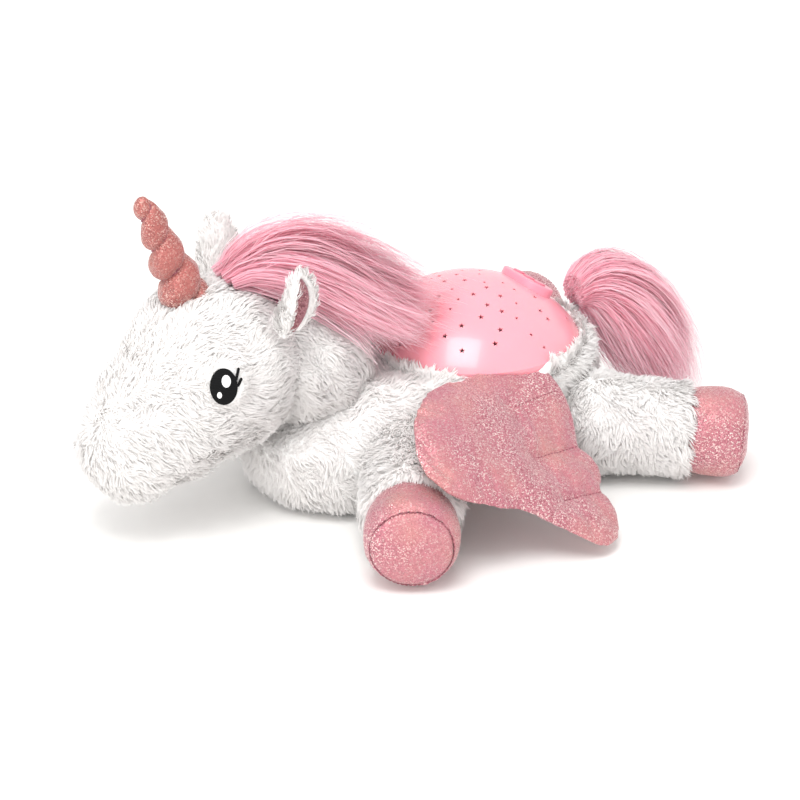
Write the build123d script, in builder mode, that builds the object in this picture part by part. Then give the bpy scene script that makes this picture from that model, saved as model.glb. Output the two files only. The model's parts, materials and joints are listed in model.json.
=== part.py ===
"""Plush unicorn night light: a lying soft toy with a star projector in its back.

Millimetres. The toy lies on its belly on the plane z = 0, +Z is up, the head points to -X and
the toy's left side is -Y. The origin is on the floor, under the middle of the whole toy.
"""

import math
import os

from build123d import *

# ---------------------------------------------------------------- driving dimensions
FABRIC = 2.5            # plush skin with its pile, as a solid wall
COVER = 1.0             # thin glitter fabric
GAP = 0.6               # running gap in every soft ball joint

DOME_X = 61.0           # projector axis
RIM_Z = 78.0            # height of the dome's rim
RIM_R = 65.0
DOME_RISE = 34.0
SKIRT_Z = RIM_Z - 8.0   # lower edge of the dome's upright skirt
SHELL_WALL = 2.0

CHEST_X, CHEST_R = -27.0, 63.0
RUMP_X, RUMP_R = 75.0, 67.0
TRUNK_TOP = 78.0
BELLY_FILLET, BACK_FILLET = 24.0, 10.0

NECK = (-53.0, 0.0, 86.0)
NECK_R = 42.0

SKULL = (-111.0, 0.0, 93.0)
SKULL_R = 52.0
MUZZLE = (-160.2, 0.0, 56.0)
MUZZLE_R = 34.0
CHIN_GAP = 8.0          # room between chest and head for nodding

HIP_R = 32.0            # ball of every leg
SHAFT_R = 29.5
HOOF_R = 26.5
HOOF_LENGTH = 35.0
FRONT_HIP = (-13.0, -56.0, 33.0)
FRONT_SOLE = (-62.5, -142.7, 28.0)
FRONT_SWING = (0, 20)   # degrees that a front leg swings forwards
REAR_HIP = (111.0, -67.0, 33.0)
REAR_SOLE = (182.0, -115.5, 28.0)
REAR_SWING = (-4, 18)   # degrees that a rear leg swings forwards

HORN_ROOT = (-124.0, 0.0, 137.0)
HORN_TIP = (-149.0, 0.0, 201.0)
# distance along the horn, radius in the bound waist there, radius of the bulge that follows
HORN_WAISTS = [(8, 13.0, 15.0), (25, 11.5, 13.5), (40, 9.0, 10.8), (53, 6.3, 7.2)]
HORN_LENGTH = 68.7
THREAD_R, THREAD_LIFT = 0.5, 1.1     # binding thread, and its middle above the waist

EAR_ROOT = (-86.5, -38.0, 129.0)
EAR_UP = (0.02, -0.32, 0.95)
EAR_FACE = (-0.62, -0.75, -0.24)
EAR_HEIGHT, EAR_WIDTH = 36.0, 27.0

EYE = (-126.5, -50.0, 103.0)
EYE_LONG, EYE_WIDE = 10.2, 7.6
EYE_REACH = 12.0        # how far the eye's outline is carried into and out of the cheek
EYE_PROUD, GLINT_PROUD = 0.8, 0.4
LASH_WIDTH = 1.5
# middle of each lash from the eye's middle, its length, its lean from level
LASHES = [((7.9, 6.3), 7.0, 72), ((8.9, 1.7), 5.2, 60)]
# middle of each glint from the eye's middle, and its two radii
GLINTS = [((1.4, 3.2), 2.5, 3.4), ((-2.7, -4.3), 1.3, 1.8)]

WING_ROOT = (31.0, -62.0, 80.0)
WING_NORMAL = (0.30, -0.52, 0.80)
WING_ALONG = (0.293, -0.748, -0.596)
WING_THICK = 6.0
WING_MIDDLE = (60.0, -20.0)
WING_CLEAR = 9.5        # between the dome's rim and the wing's root, for lifting

PANEL_TILT = 30.4       # control panel, degrees down the dome towards the tail
PANEL_R = (14.0, 20.0)
PANEL_PROUD = 2.6
BUTTON_PITCH = 11.0
BUTTON_R = 3.8
BUTTON_PROUD = 1.0

TRAY_R = 44.0
TRAY_Z = 10.0
TRAY_FLOOR = 4.0
BAY = (34.0, 51.0, 14.0)      # battery bay, inside
DOOR = (39.4, 65.0, 2.2)
DOOR_Y = 3.5
SCREW_Y = 31.0
AAA_R, AAA_LENGTH = 5.25, 44.5
CELL_PITCH = 2 * AAA_R + 0.5
POST_CIRCLE = (38.0, 3, 150)  # screw posts: radius of their circle, count, first angle

TAIL_PATH = [(138, 0, 87), (153, 0, 92), (168, -6, 80), (175, -17, 61), (177, -28, 43), (180, -36, 26)]
TAIL_RADII = [8, 16, 20, 19, 16, 10]

MANE_INNER, MANE_BACKING, MANE_OUTER = 45.5, 47.5, 84.0
MANE_HALF_WIDTH = 22.0

LEFT, RIGHT = -1, 1


def save(part, name):
    """Label a finished piece and write its STEP file."""
    part.label = name
    export_step(part, f"parts/{name}.step")


def on_side(point, side):
    """The same point on the left (as given) or mirrored to the right of the toy."""
    return (point[0], -side * point[1], point[2])


def along(start, end):
    """Unit vector from one point to another."""
    return (Vector(*end) - Vector(*start)).normalized()


# ---------------------------------------------------------------- shared soft forms
def trunk_form(grow):
    """The lying trunk: chest and rump circles in plan, rounded belly, sloping chest front."""
    with BuildPart() as form:
        with BuildSketch(Plane.XY.offset(-grow)):
            with Locations((CHEST_X, 0)):
                Circle(CHEST_R + grow)
            with Locations((RUMP_X, 0)):
                Circle(RUMP_R + grow)
            make_hull()
        extrude(amount=TRUNK_TOP + 2 * grow)
        fillet(form.faces().sort_by(Axis.Z)[0].edges(), BELLY_FILLET + grow)
        fillet(form.faces().sort_by(Axis.Z)[-1].edges(), BACK_FILLET + grow)
        with BuildSketch(Plane.XZ):
            # everything in front of and above the slope from the withers to the breast
            with BuildLine():
                Polyline(
                    (CHEST_X - 6 - 0.7 * grow, TRUNK_TOP + 2 + grow),
                    (CHEST_X - 80, TRUNK_TOP + 2 + grow),
                    (CHEST_X - 80, 42 + 0.7 * grow),
                    (CHEST_X - 63 - 0.7 * grow, 42 + 0.7 * grow),
                    close=True,
                )
            make_face()
        extrude(amount=100, both=True, mode=Mode.SUBTRACT)
    return form.part


def head_form(grow):
    """The head: a large skull ball running into a smaller muzzle ball, turned about one axis."""
    reach = (Vector(*MUZZLE) - Vector(*SKULL)).length
    axis = along(SKULL, MUZZLE)
    skull, muzzle = SKULL_R + grow, MUZZLE_R + grow
    lean = math.asin((skull - muzzle) / reach)
    with BuildPart() as form:
        with BuildSketch(Plane(origin=SKULL, x_dir=axis, z_dir=(0, -1, 0))):
            with BuildLine():
                cheek = (skull * math.sin(lean), skull * math.cos(lean))
                lip = (reach + muzzle * math.sin(lean), muzzle * math.cos(lean))
                crown = skull * math.sqrt(0.5)
                nose = muzzle * math.sqrt(0.5)
                ThreePointArc((-skull, 0), (-crown, crown), cheek)
                Line(cheek, lip)
                ThreePointArc(lip, (reach + nose, nose), (reach + muzzle, 0))
                Line((reach + muzzle, 0), (-skull, 0))
            make_face()
        revolve(axis=Axis(SKULL, axis))
    return form.part


def ball(centre, radius):
    """A sphere as a private tool solid."""
    return Pos(*centre) * Sphere(radius, mode=Mode.PRIVATE)


def leg_plane(hip, sole):
    """Sketch plane through a leg: x runs from the hip to the sole, y is across it."""
    axis = along(hip, sole)
    return Plane(origin=hip, x_dir=axis, z_dir=axis.cross(Vector(0, 0, 1)))


def leg_length(hip, sole):
    return (Vector(*sole) - Vector(*hip)).length


def leg_room(hip, sole, swing, side):
    """What a leg sweeps inside the trunk: its ball, and its shaft at points of the swing."""
    hip, sole = on_side(hip, side), on_side(sole, side)
    with BuildPart() as room:
        add(ball(hip, HIP_R + GAP))
        for degrees in (swing[0], sum(swing) / 2, swing[1]):
            axis = along(hip, sole).rotate(Axis.Z, side * degrees)
            with BuildSketch(Plane(origin=hip, z_dir=axis)):
                Circle(SHAFT_R + 2 * GAP)
            extrude(amount=70)
    return room.part


def trunk_cutters():
    """Sockets in the trunk: the neck ball, four hips, the projector's well, the belly hole."""
    with BuildPart() as cutters:
        add(ball(NECK, NECK_R + GAP))
        for side in (LEFT, RIGHT):
            add(leg_room(FRONT_HIP, FRONT_SOLE, FRONT_SWING, side))
            add(leg_room(REAR_HIP, REAR_SOLE, REAR_SWING, side))
        with BuildSketch(Plane.XZ):
            with BuildLine():
                Polyline(
                    (DOME_X, TRAY_Z - 0.5),
                    (DOME_X + TRAY_R + 1, TRAY_Z - 0.5),
                    (DOME_X + TRAY_R + 1, 50),
                    (DOME_X + RIM_R + 0.5, 65),
                    (DOME_X + RIM_R + 0.5, TRUNK_TOP + 5),
                    (DOME_X, TRUNK_TOP + 5),
                    close=True,
                )
            make_face()
        revolve(axis=Axis((DOME_X, 0, 0), (0, 0, 1)))
        with BuildSketch(Plane.XY.offset(-2)):
            with Locations((DOME_X, DOOR_Y)):
                RectangleRounded(DOOR[0] + 8, DOOR[1] + 8, 6)
        extrude(amount=TRAY_Z + 4)
    return cutters.part


os.makedirs("parts", exist_ok=True)

# ---------------------------------------------------------------- trunk
outer_trunk = trunk_form(0)
inner_trunk = trunk_form(-FABRIC)
sockets = trunk_cutters()

with BuildPart() as body_skin:
    add(outer_trunk)
    add(inner_trunk, mode=Mode.SUBTRACT)
    add(sockets, mode=Mode.SUBTRACT)
save(body_skin.part, "body_skin")

with BuildPart() as body_stuffing:
    add(inner_trunk)
    add(sockets, mode=Mode.SUBTRACT)
save(body_stuffing.part, "body_stuffing")

with BuildPart() as dome_hem:
    # gathered fabric casing that holds the dome by its rim
    with BuildSketch(Plane.XZ):
        with Locations((DOME_X + RIM_R + 2.4, TRUNK_TOP + 1.0)):
            SlotOverall(4.0, 2.0)
    revolve(axis=Axis((DOME_X, 0, 0), (0, 0, 1)))
save(dome_hem.part, "dome_hem")

# ---------------------------------------------------------------- legs
def leave_ball(radius, shaft):
    """Draw the hip ball's arc from the leg's axis to where the shaft leaves it; give that point."""
    neck = (math.sqrt(radius**2 - shaft**2), shaft)
    ThreePointArc((-radius, 0), (0, radius), neck)
    return neck


def leg_skin(plane, cuff):
    """Plush sleeve: a ball at the hip, closed there, open at the cuff."""
    with BuildPart() as skin:
        for inset, mode in ((0, Mode.ADD), (FABRIC, Mode.SUBTRACT)):
            with BuildSketch(plane):
                with BuildLine():
                    neck = leave_ball(HIP_R - inset, SHAFT_R - inset)
                    Polyline(neck, (cuff, SHAFT_R - inset), (cuff, 0), (inset - HIP_R, 0))
                make_face()
            revolve(axis=Axis(plane.origin, plane.x_dir), mode=mode)
    return skin.part


def leg_stuffing(plane, cuff, end):
    """Fibre filling of the sleeve and the hoof in one piece."""
    with BuildPart() as filling:
        with BuildSketch(plane):
            with BuildLine():
                neck = leave_ball(HIP_R - FABRIC, SHAFT_R - FABRIC)
                Polyline(
                    neck,
                    (cuff, SHAFT_R - FABRIC),
                    (cuff, HOOF_R - COVER - 2),
                    (end - 12, HOOF_R - COVER),
                    (end - 4, HOOF_R - COVER - 1),
                    (end - 1.5, HOOF_R - COVER - 4),
                    (end - 1.5, 0),
                    (FABRIC - HIP_R, 0),
                )
            make_face()
        revolve(axis=Axis(plane.origin, plane.x_dir))
    return filling.part


def hoof_sock(plane, cuff, end):
    """Tube of glitter fabric from the cuff to the seam round the sole."""
    with BuildPart() as sock:
        with BuildSketch(plane):
            with BuildLine():
                Polyline(
                    (cuff, HOOF_R - COVER - 2),
                    (end - 12, HOOF_R - COVER),
                    (end - 4, HOOF_R - COVER - 1),
                    (end - 1.5, HOOF_R - COVER - 4),
                    (end - 0.8, HOOF_R - COVER - 3),
                    (end - 3.5, HOOF_R - 0.9),
                    (end - 12, HOOF_R),
                    (cuff, HOOF_R - 2),
                    close=True,
                )
            make_face()
        revolve(axis=Axis(plane.origin, plane.x_dir))
    return sock.part


def hoof_sole(plane, end):
    """Round sole, sewn inside the end of the sock."""
    with BuildPart() as sole:
        with BuildSketch(Plane(origin=plane.origin + plane.x_dir * (end - 1.5), z_dir=plane.x_dir)):
            Circle(HOOF_R - COVER - 4)
        extrude(amount=1.5)
    return sole.part


for side, side_name in ((LEFT, "left"), (RIGHT, "right")):
    for hip, sole, end_name in (
        (FRONT_HIP, FRONT_SOLE, "front"),
        (REAR_HIP, REAR_SOLE, "rear"),
    ):
        hip_point, sole_point = on_side(hip, side), on_side(sole, side)
        frame_plane = leg_plane(hip_point, sole_point)
        length = leg_length(hip, sole)
        cuff_at = length - HOOF_LENGTH
        prefix = f"{end_name}_{side_name}"
        save(leg_skin(frame_plane, cuff_at), f"{prefix}_leg_skin")
        save(leg_stuffing(frame_plane, cuff_at, length), f"{prefix}_leg_stuffing")
        save(hoof_sock(frame_plane, cuff_at, length), f"{prefix}_hoof_sock")
        save(hoof_sole(frame_plane, length), f"{prefix}_hoof_sole")

# ---------------------------------------------------------------- neck and head
with BuildPart() as neck_skin:
    add(ball(NECK, NECK_R))
    add(ball(NECK, NECK_R - FABRIC), mode=Mode.SUBTRACT)
save(neck_skin.part, "neck_skin")

with BuildPart() as neck_stuffing:
    add(ball(NECK, NECK_R - FABRIC))
save(neck_stuffing.part, "neck_stuffing")

outer_head = head_form(0)
inner_head = head_form(-FABRIC)
horn_axis = along(HORN_ROOT, HORN_TIP)

with BuildPart() as head_cutters:
    # neck socket, horn socket and the room in front of the chest
    add(ball(NECK, NECK_R + GAP))
    add(ball(HORN_ROOT, 15.5 + GAP))
    add(trunk_form(CHIN_GAP))

with BuildPart() as head_skin:
    add(outer_head)
    add(inner_head, mode=Mode.SUBTRACT)
    add(head_cutters.part, mode=Mode.SUBTRACT)
save(head_skin.part, "head_skin")

with BuildPart() as head_stuffing:
    add(inner_head)
    add(head_cutters.part, mode=Mode.SUBTRACT)
save(head_stuffing.part, "head_stuffing")


eye_out = along(SKULL, EYE)
eye_plane = Plane(origin=EYE, x_dir=(-eye_out.Y, eye_out.X, 0), z_dir=eye_out)

with BuildPart() as eye_patch:
    # oval of black embroidery lying on the cheek, with two lashes that rise from its rear edge
    with BuildSketch(eye_plane):
        Ellipse(EYE_WIDE, EYE_LONG)
        for place, lash, lean in LASHES:
            with Locations(Location((*place, 0), (0, 0, lean))):
                SlotOverall(lash, LASH_WIDTH)
    extrude(amount=EYE_REACH, both=True)
    add(head_form(EYE_PROUD), mode=Mode.INTERSECT)
    add(outer_head, mode=Mode.SUBTRACT)

with BuildPart() as eye_glints:
    # two ovals of white thread over the black
    with BuildSketch(eye_plane):
        for place, wide, tall in GLINTS:
            with Locations(place):
                Ellipse(wide, tall)
    extrude(amount=EYE_REACH, both=True)
    add(head_form(EYE_PROUD + GLINT_PROUD), mode=Mode.INTERSECT)
    add(head_form(EYE_PROUD), mode=Mode.SUBTRACT)

for piece, name in ((eye_patch.part, "eye"), (eye_glints.part, "eye_glints")):
    save(piece, f"{name}_left")
    save(mirror(piece, about=Plane.XZ), f"{name}_right")


# ---------------------------------------------------------------- horn
def horn_form(inset):
    """Horn tied in at three waists, with a ball at its root."""
    with BuildPart() as form:
        with BuildSketch(Plane(origin=HORN_ROOT, x_dir=horn_axis, z_dir=(0, 1, 0))):
            with BuildLine():
                root = 15.5 - inset
                first = (math.sqrt(root**2 - (HORN_WAISTS[0][1] - inset) ** 2), HORN_WAISTS[0][1] - inset)
                diagonal = root * math.sqrt(0.5)
                ThreePointArc((-root, 0), (-diagonal, diagonal), first)
                start = first
                ends = [(at, radius - inset) for at, radius, _ in HORN_WAISTS[1:]]
                ends.append((HORN_LENGTH - inset, 0))
                for (_, _, bulge), end in zip(HORN_WAISTS, ends):
                    share = 0.45 if end[1] else 0.35
                    middle = start[0] + share * (end[0] - start[0])
                    Spline(start, (middle, bulge - inset), end)
                    start = end
                Line(start, (-root, 0))
            make_face()
        revolve(axis=Axis(HORN_ROOT, horn_axis))
    return form.part


outer_horn, inner_horn = horn_form(0), horn_form(COVER)
with BuildPart() as horn_cover:
    add(outer_horn)
    add(inner_horn, mode=Mode.SUBTRACT)
save(horn_cover.part, "horn_cover")
save(inner_horn, "horn_stuffing")

with BuildPart() as horn_thread:
    for distance, radius, _ in HORN_WAISTS[1:]:
        with BuildSketch(Plane(origin=HORN_ROOT, x_dir=horn_axis, z_dir=(0, 1, 0))):
            with Locations((distance, radius + THREAD_LIFT)):
                Circle(THREAD_R)
        revolve(axis=Axis(HORN_ROOT, horn_axis))
save(horn_thread.part, "horn_thread")


# ---------------------------------------------------------------- ears
def ear_plate(side, start, thickness, shrink):
    """Leaf-shaped layer of an ear, from one depth along its facing direction."""
    root = Vector(*on_side(EAR_ROOT, side))
    up = Vector(*on_side(EAR_UP, side)).normalized()
    across = up.cross(Vector(*on_side(EAR_FACE, side))).normalized()
    face = across.cross(up)
    half = EAR_WIDTH / 2 - shrink
    with BuildPart() as plate:
        with BuildSketch(Plane(origin=root + face * start, x_dir=across, z_dir=face)):
            with BuildLine():
                base, top = 1 + shrink, EAR_HEIGHT - 1.4 * shrink
                broad = 0.38 * EAR_HEIGHT
                Spline((-0.6 * half, base), (-half, broad), (0, top), tangents=((-0.4, 1), (0.8, 0.6)))
                Spline((0, top), (half, broad), (0.6 * half, base), tangents=((0.8, -0.6), (-0.4, -1)))
                Line((0.6 * half, base), (-0.6 * half, base))
            make_face()
        extrude(amount=thickness)
        add(head_form(2.0), mode=Mode.SUBTRACT)
    return plate.part


for side, side_name in ((LEFT, "left"), (RIGHT, "right")):
    save(ear_plate(side, -3.0, 5.0, 0), f"ear_{side_name}_outer")
    save(ear_plate(side, 2.0, 1.2, 3.0), f"ear_{side_name}_lining")


# ---------------------------------------------------------------- mane
def mane_ring(inner, outer, half_width, first, last):
    """Part of a ring round the nape, between two angles up from the tail direction."""
    with BuildPart() as ring:
        with BuildSketch(Plane(origin=(NECK[0], half_width, NECK[2]), z_dir=(0, -1, 0), x_dir=(1, 0, 0))):
            with BuildLine():
                corners = [
                    (radius * math.cos(math.radians(angle)), radius * math.sin(math.radians(angle)))
                    for radius, angle in (
                        (inner, first),
                        (inner, (first + last) / 2),
                        (inner, last),
                        (outer, last),
                        (outer, (first + last) / 2),
                        (outer, first),
                    )
                ]
                ThreePointArc(corners[0], corners[1], corners[2])
                Line(corners[2], corners[3])
                ThreePointArc(corners[3], corners[4], corners[5])
                Line(corners[5], corners[0])
            make_face()
        extrude(amount=2 * half_width)
        add(outer_head, mode=Mode.SUBTRACT)
    return ring.part


save(mane_ring(MANE_INNER, MANE_BACKING, 12, 48, 125), "mane_backing")
with BuildPart() as mane_hair:
    add(mane_ring(MANE_BACKING, MANE_OUTER, MANE_HALF_WIDTH, 40, 122))
    fillet(mane_hair.edges().filter_by(Axis.Y).sort_by(Axis.X)[-1:], 8)
save(mane_hair.part, "mane_hair")


# ---------------------------------------------------------------- tail
with BuildPart() as tail_hair:
    for index, (point, radius) in enumerate(zip(TAIL_PATH, TAIL_RADII)):
        before = TAIL_PATH[max(index - 1, 0)]
        after = TAIL_PATH[min(index + 1, len(TAIL_PATH) - 1)]
        with BuildSketch(Plane(origin=point, z_dir=along(before, after), x_dir=(0, 1, 0))):
            Circle(radius)
    loft()
    with BuildSketch(Plane(origin=TAIL_PATH[0], z_dir=along(TAIL_PATH[0], TAIL_PATH[1]), x_dir=(0, 1, 0))):
        Circle(5.0)
    extrude(amount=14, mode=Mode.SUBTRACT)
save(tail_hair.part, "tail_hair")

with BuildPart() as tail_core:
    # sewn fabric stub that the long pile is rooted on
    with BuildSketch(Plane(origin=TAIL_PATH[0], z_dir=along(TAIL_PATH[0], TAIL_PATH[1]), x_dir=(0, 1, 0))):
        Circle(5.0)
    extrude(amount=14)
save(tail_core.part, "tail_core")


# ---------------------------------------------------------------- wings
def wing_plane(side):
    normal = on_side(WING_NORMAL, side)
    length = on_side(WING_ALONG, side)
    return Plane(origin=on_side(WING_ROOT, side), x_dir=length, z_dir=normal)


def wing_layer(side, scale, thickness):
    """Wing outline with four feather scallops along its trailing edge, centred on its plane."""
    flip = -side        # the plane's y runs towards the tail on the left and the head on the right
    with BuildPart() as layer:
        with BuildSketch(wing_plane(side)):
            with BuildLine():
                tip, notch_1, notch_2, notch_3 = (121, 3), (95, 14), (65, 25), (32, 33)
                rear_root, front_root = (6, 12), (-4, -30)
                lead = [(-2, -60), (14, -85), (36, -98), (60, -88), (88, -48), (116, -26), (125, -12)]

                def put(point):
                    x, y = (middle + scale * (value - middle) for value, middle in zip(point, WING_MIDDLE))
                    return (x, flip * y)

                ThreePointArc(put(tip), put((109, 13)), put(notch_1))
                ThreePointArc(put(notch_1), put((81, 28)), put(notch_2))
                ThreePointArc(put(notch_2), put((50, 38)), put(notch_3))
                ThreePointArc(put(notch_3), put((17, 29)), put(rear_root))
                Line(put(rear_root), put(front_root))
                Spline([put(p) for p in (front_root, *lead, tip)])
            make_face()
        extrude(amount=thickness / 2, both=True)
        # the root stays clear of the trunk and of the hem round the dome
        add(trunk_form(1.5), mode=Mode.SUBTRACT)
        with BuildSketch():
            with Locations((DOME_X, 0)):
                Circle(RIM_R + WING_CLEAR)
        extrude(amount=2 * RIM_Z, mode=Mode.SUBTRACT)
    return layer.part


for side, side_name in ((LEFT, "left"), (RIGHT, "right")):
    outer = wing_layer(side, 1, WING_THICK)
    wadding = wing_layer(side, 0.94, WING_THICK - 2 * COVER)
    with BuildPart() as wing_cover:
        add(outer)
        add(wadding, mode=Mode.SUBTRACT)
    save(wing_cover.part, f"wing_{side_name}_cover")
    save(wadding, f"wing_{side_name}_wadding")


# ---------------------------------------------------------------- projector: dome
DOME_R = (RIM_R**2 + DOME_RISE**2) / (2 * DOME_RISE)
DOME_CENTRE_Z = RIM_Z + DOME_RISE - DOME_R
dome_axis = Axis((DOME_X, 0, 0), (0, 0, 1))


def dome_plane(tilt, turn):
    """Plane touching the dome's outside, tilt degrees down from its top, turned about its axis."""
    lean, bearing = math.radians(tilt), math.radians(turn)
    out = Vector(math.sin(lean) * math.cos(bearing), math.sin(lean) * math.sin(bearing), math.cos(lean))
    across = (-math.sin(bearing), math.cos(bearing), 0)
    return Plane(origin=Vector(DOME_X, 0, DOME_CENTRE_Z) + out * DOME_R, x_dir=across, z_dir=out)


def cap(outer, inner, lowest):
    """Spherical cap between two radii about the dome's centre, above one height."""
    with BuildPart() as shell:
        add(ball((DOME_X, 0, DOME_CENTRE_Z), outer))
        add(ball((DOME_X, 0, DOME_CENTRE_Z), inner), mode=Mode.SUBTRACT)
        split(bisect_by=Plane.XY.offset(lowest), keep=Keep.TOP)
    return shell.part


panel_plane = dome_plane(PANEL_TILT, 0)

# star windows: rings of holes, left out where the control panel sits
STAR_RINGS = [(6, 4, 20), (13, 9, 0), (20, 12, 14), (27, 15, 5), (34, 15, 17), (41, 13, 3), (47, 8, 12)]
star_planes = []
for ring_index, (tilt, count, first) in enumerate(STAR_RINGS):
    for step in range(count):
        wander = 3.5 * math.sin(2.3 * step + ring_index)
        turn = first + 360 * step / count + wander
        place = dome_plane(tilt + 0.6 * wander, turn)
        if (place.origin - panel_plane.origin).length > 26:
            star_planes.append((place, 1.9 if (step + ring_index) % 3 else 1.3))

with BuildPart() as dome_shell:
    add(cap(DOME_R, DOME_R - SHELL_WALL, RIM_Z))
    with BuildSketch(Plane.XY.offset(SKIRT_Z)):
        with Locations((DOME_X, 0)):
            Circle(RIM_R)
            Circle(RIM_R - SHELL_WALL, mode=Mode.SUBTRACT)
    extrude(amount=8)
    for size in (1.9, 1.3):
        with BuildSketch(*[place for place, radius in star_planes if radius == size]):
            Polygon(
                *[
                    (
                        size * (1 if corner % 2 == 0 else 0.45) * math.sin(math.pi * corner / 5),
                        size * (1 if corner % 2 == 0 else 0.45) * math.cos(math.pi * corner / 5),
                    )
                    for corner in range(10)
                ],
                align=None,
            )
        extrude(amount=2 * SHELL_WALL, both=True, mode=Mode.SUBTRACT)
    # seat of the control panel
    with BuildSketch(panel_plane):
        Ellipse(PANEL_R[1] - 2.6, PANEL_R[0] - 2.6)
    extrude(amount=10, both=True, mode=Mode.SUBTRACT)
save(dome_shell.part, "dome_shell")

with BuildPart() as dome_liner:
    # clear inner cap behind the star windows
    add(cap(DOME_R - SHELL_WALL - 0.2, DOME_R - SHELL_WALL - 1.4, RIM_Z + 0.5))
    with BuildSketch(panel_plane):
        Ellipse(PANEL_R[1] - 1.8, PANEL_R[0] - 1.8)
    extrude(amount=10, both=True, mode=Mode.SUBTRACT)
save(dome_liner.part, "dome_liner")

# ---------------------------------------------------------------- projector: buttons
SEAT_DEPTH = 4.0            # panel boss below the dome's outside
BOARD_DEPTH = 12.0
BOARD = (40.0, 18.0, 1.6)
button_places = [(-BUTTON_PITCH, 0), (0, 0), (BUTTON_PITCH, 0)]

with BuildPart() as control_panel:
    with BuildSketch(panel_plane):
        Ellipse(PANEL_R[1], PANEL_R[0])
    extrude(amount=PANEL_PROUD)
    fillet(control_panel.faces().sort_by(Axis.Z)[-1].edges(), 1.2)
    with BuildSketch(panel_plane):
        Ellipse(PANEL_R[1], PANEL_R[0])
    extrude(amount=-SEAT_DEPTH)
    add(ball((DOME_X, 0, DOME_CENTRE_Z), DOME_R), mode=Mode.SUBTRACT)
    with BuildSketch(panel_plane.offset(-SEAT_DEPTH)):
        Ellipse(PANEL_R[1] - 2.8, PANEL_R[0] - 2.8)
    extrude(amount=SEAT_DEPTH + PANEL_PROUD - 0.5)
    with BuildSketch(panel_plane.offset(-SEAT_DEPTH)):
        with GridLocations(BUTTON_PITCH, 12, 2, 2):
            Circle(1.4)
    extrude(amount=-(BOARD_DEPTH - BOARD[2] - SEAT_DEPTH))
    with BuildSketch(panel_plane.offset(PANEL_PROUD)):
        with Locations(*button_places):
            Circle(BUTTON_R + 0.3)
    extrude(amount=-(PANEL_PROUD + SEAT_DEPTH), mode=Mode.SUBTRACT)
save(control_panel.part, "control_panel")

for place, button_name in zip(button_places, ("timer", "power", "colour")):
    with BuildPart() as button:
        with BuildSketch(panel_plane.offset(-SEAT_DEPTH - 0.2)):
            with Locations(place):
                Circle(BUTTON_R)
        extrude(amount=SEAT_DEPTH + 0.2 + PANEL_PROUD + BUTTON_PROUD)
        fillet(button.faces().sort_by(Axis.Z)[-1].edges(), 0.8)
        with BuildSketch(panel_plane.offset(-SEAT_DEPTH - 0.2)):
            with Locations(place):
                Circle(BUTTON_R + 0.8)
        extrude(amount=-0.8)
    save(button.part, f"button_{button_name}")

with BuildPart() as button_board:
    with BuildSketch(panel_plane.offset(-BOARD_DEPTH)):
        Rectangle(BOARD[0], BOARD[1])
    extrude(amount=BOARD[2])
save(button_board.part, "button_board")

with BuildPart() as tact_switches:
    with BuildSketch(panel_plane.offset(-BOARD_DEPTH + BOARD[2])):
        with Locations(*button_places):
            Rectangle(6, 6)
    extrude(amount=3.0)
    with BuildSketch(panel_plane.offset(-BOARD_DEPTH + BOARD[2] + 3.0)):
        with Locations(*button_places):
            Circle(1.6)
    extrude(amount=1.2)
save(tact_switches.part, "tact_switches")

# ---------------------------------------------------------------- projector: lower housing
TRAY_TOP = SKIRT_Z - 0.4
BAY_TOP = TRAY_Z + BAY[2]

with BuildPart() as base_tray:
    with BuildSketch(Plane.XZ):
        with BuildLine():
            Polyline(
                (DOME_X, TRAY_Z),
                (DOME_X + TRAY_R, TRAY_Z),
                (DOME_X + TRAY_R, 50.5),
                (DOME_X + RIM_R - 1, 65.5),
                (DOME_X + RIM_R - 1, TRAY_TOP),
                (DOME_X + RIM_R - 3, TRAY_TOP),
                (DOME_X + RIM_R - 3, 66.5),
                (DOME_X + TRAY_R - 2, 51.5),
                (DOME_X + TRAY_R - 2, TRAY_Z + TRAY_FLOOR),
                (DOME_X, TRAY_Z + TRAY_FLOOR),
                close=True,
            )
        make_face()
    revolve(axis=dome_axis)
    with BuildSketch(Plane.XY.offset(TRAY_Z)):
        with Locations((DOME_X, 0)):
            Rectangle(BAY[0] + 3, BAY[1] + 3)
    extrude(amount=BAY[2] + 1.5)
    with BuildSketch(Plane.XY.offset(TRAY_Z)):
        with Locations((DOME_X, 0)):
            Rectangle(BAY[0], BAY[1])
    extrude(amount=BAY[2], mode=Mode.SUBTRACT)
    with BuildSketch(Plane.XY.offset(TRAY_Z)):
        with Locations((DOME_X, DOOR_Y)):
            RectangleRounded(DOOR[0] + 0.8, DOOR[1] + 0.8, 3)
    extrude(amount=DOOR[2] + 0.3, mode=Mode.SUBTRACT)
    # boss for the door's screw, three posts for the dome's screws, three for the lamp board
    with BuildSketch(Plane.XY.offset(TRAY_Z + TRAY_FLOOR)):
        with Locations((DOME_X, SCREW_Y)):
            Circle(3.4)
    extrude(amount=7)
    with BuildSketch(Plane.XY.offset(TRAY_Z + TRAY_FLOOR)):
        with Locations((DOME_X, 0)):
            with PolarLocations(*POST_CIRCLE):
                Circle(3.2)
    extrude(amount=SKIRT_Z - TRAY_Z - TRAY_FLOOR)
    with BuildSketch(Plane.XY.offset(BAY_TOP + 1.5)):
        with Locations((DOME_X, 0)):
            with PolarLocations(15, 3, 30):
                Circle(2.0)
    extrude(amount=20)
    with BuildSketch(Plane.XY.offset(TRAY_Z)):
        with Locations((DOME_X, SCREW_Y)):
            Circle(1.3)
    extrude(amount=10, mode=Mode.SUBTRACT)
    with BuildSketch(Plane.XY.offset(TRAY_Z)):
        with Locations((DOME_X, 0)):
            with PolarLocations(*POST_CIRCLE):
                Circle(1.7)
    extrude(amount=RIM_Z, mode=Mode.SUBTRACT)
save(base_tray.part, "base_tray")

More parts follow.
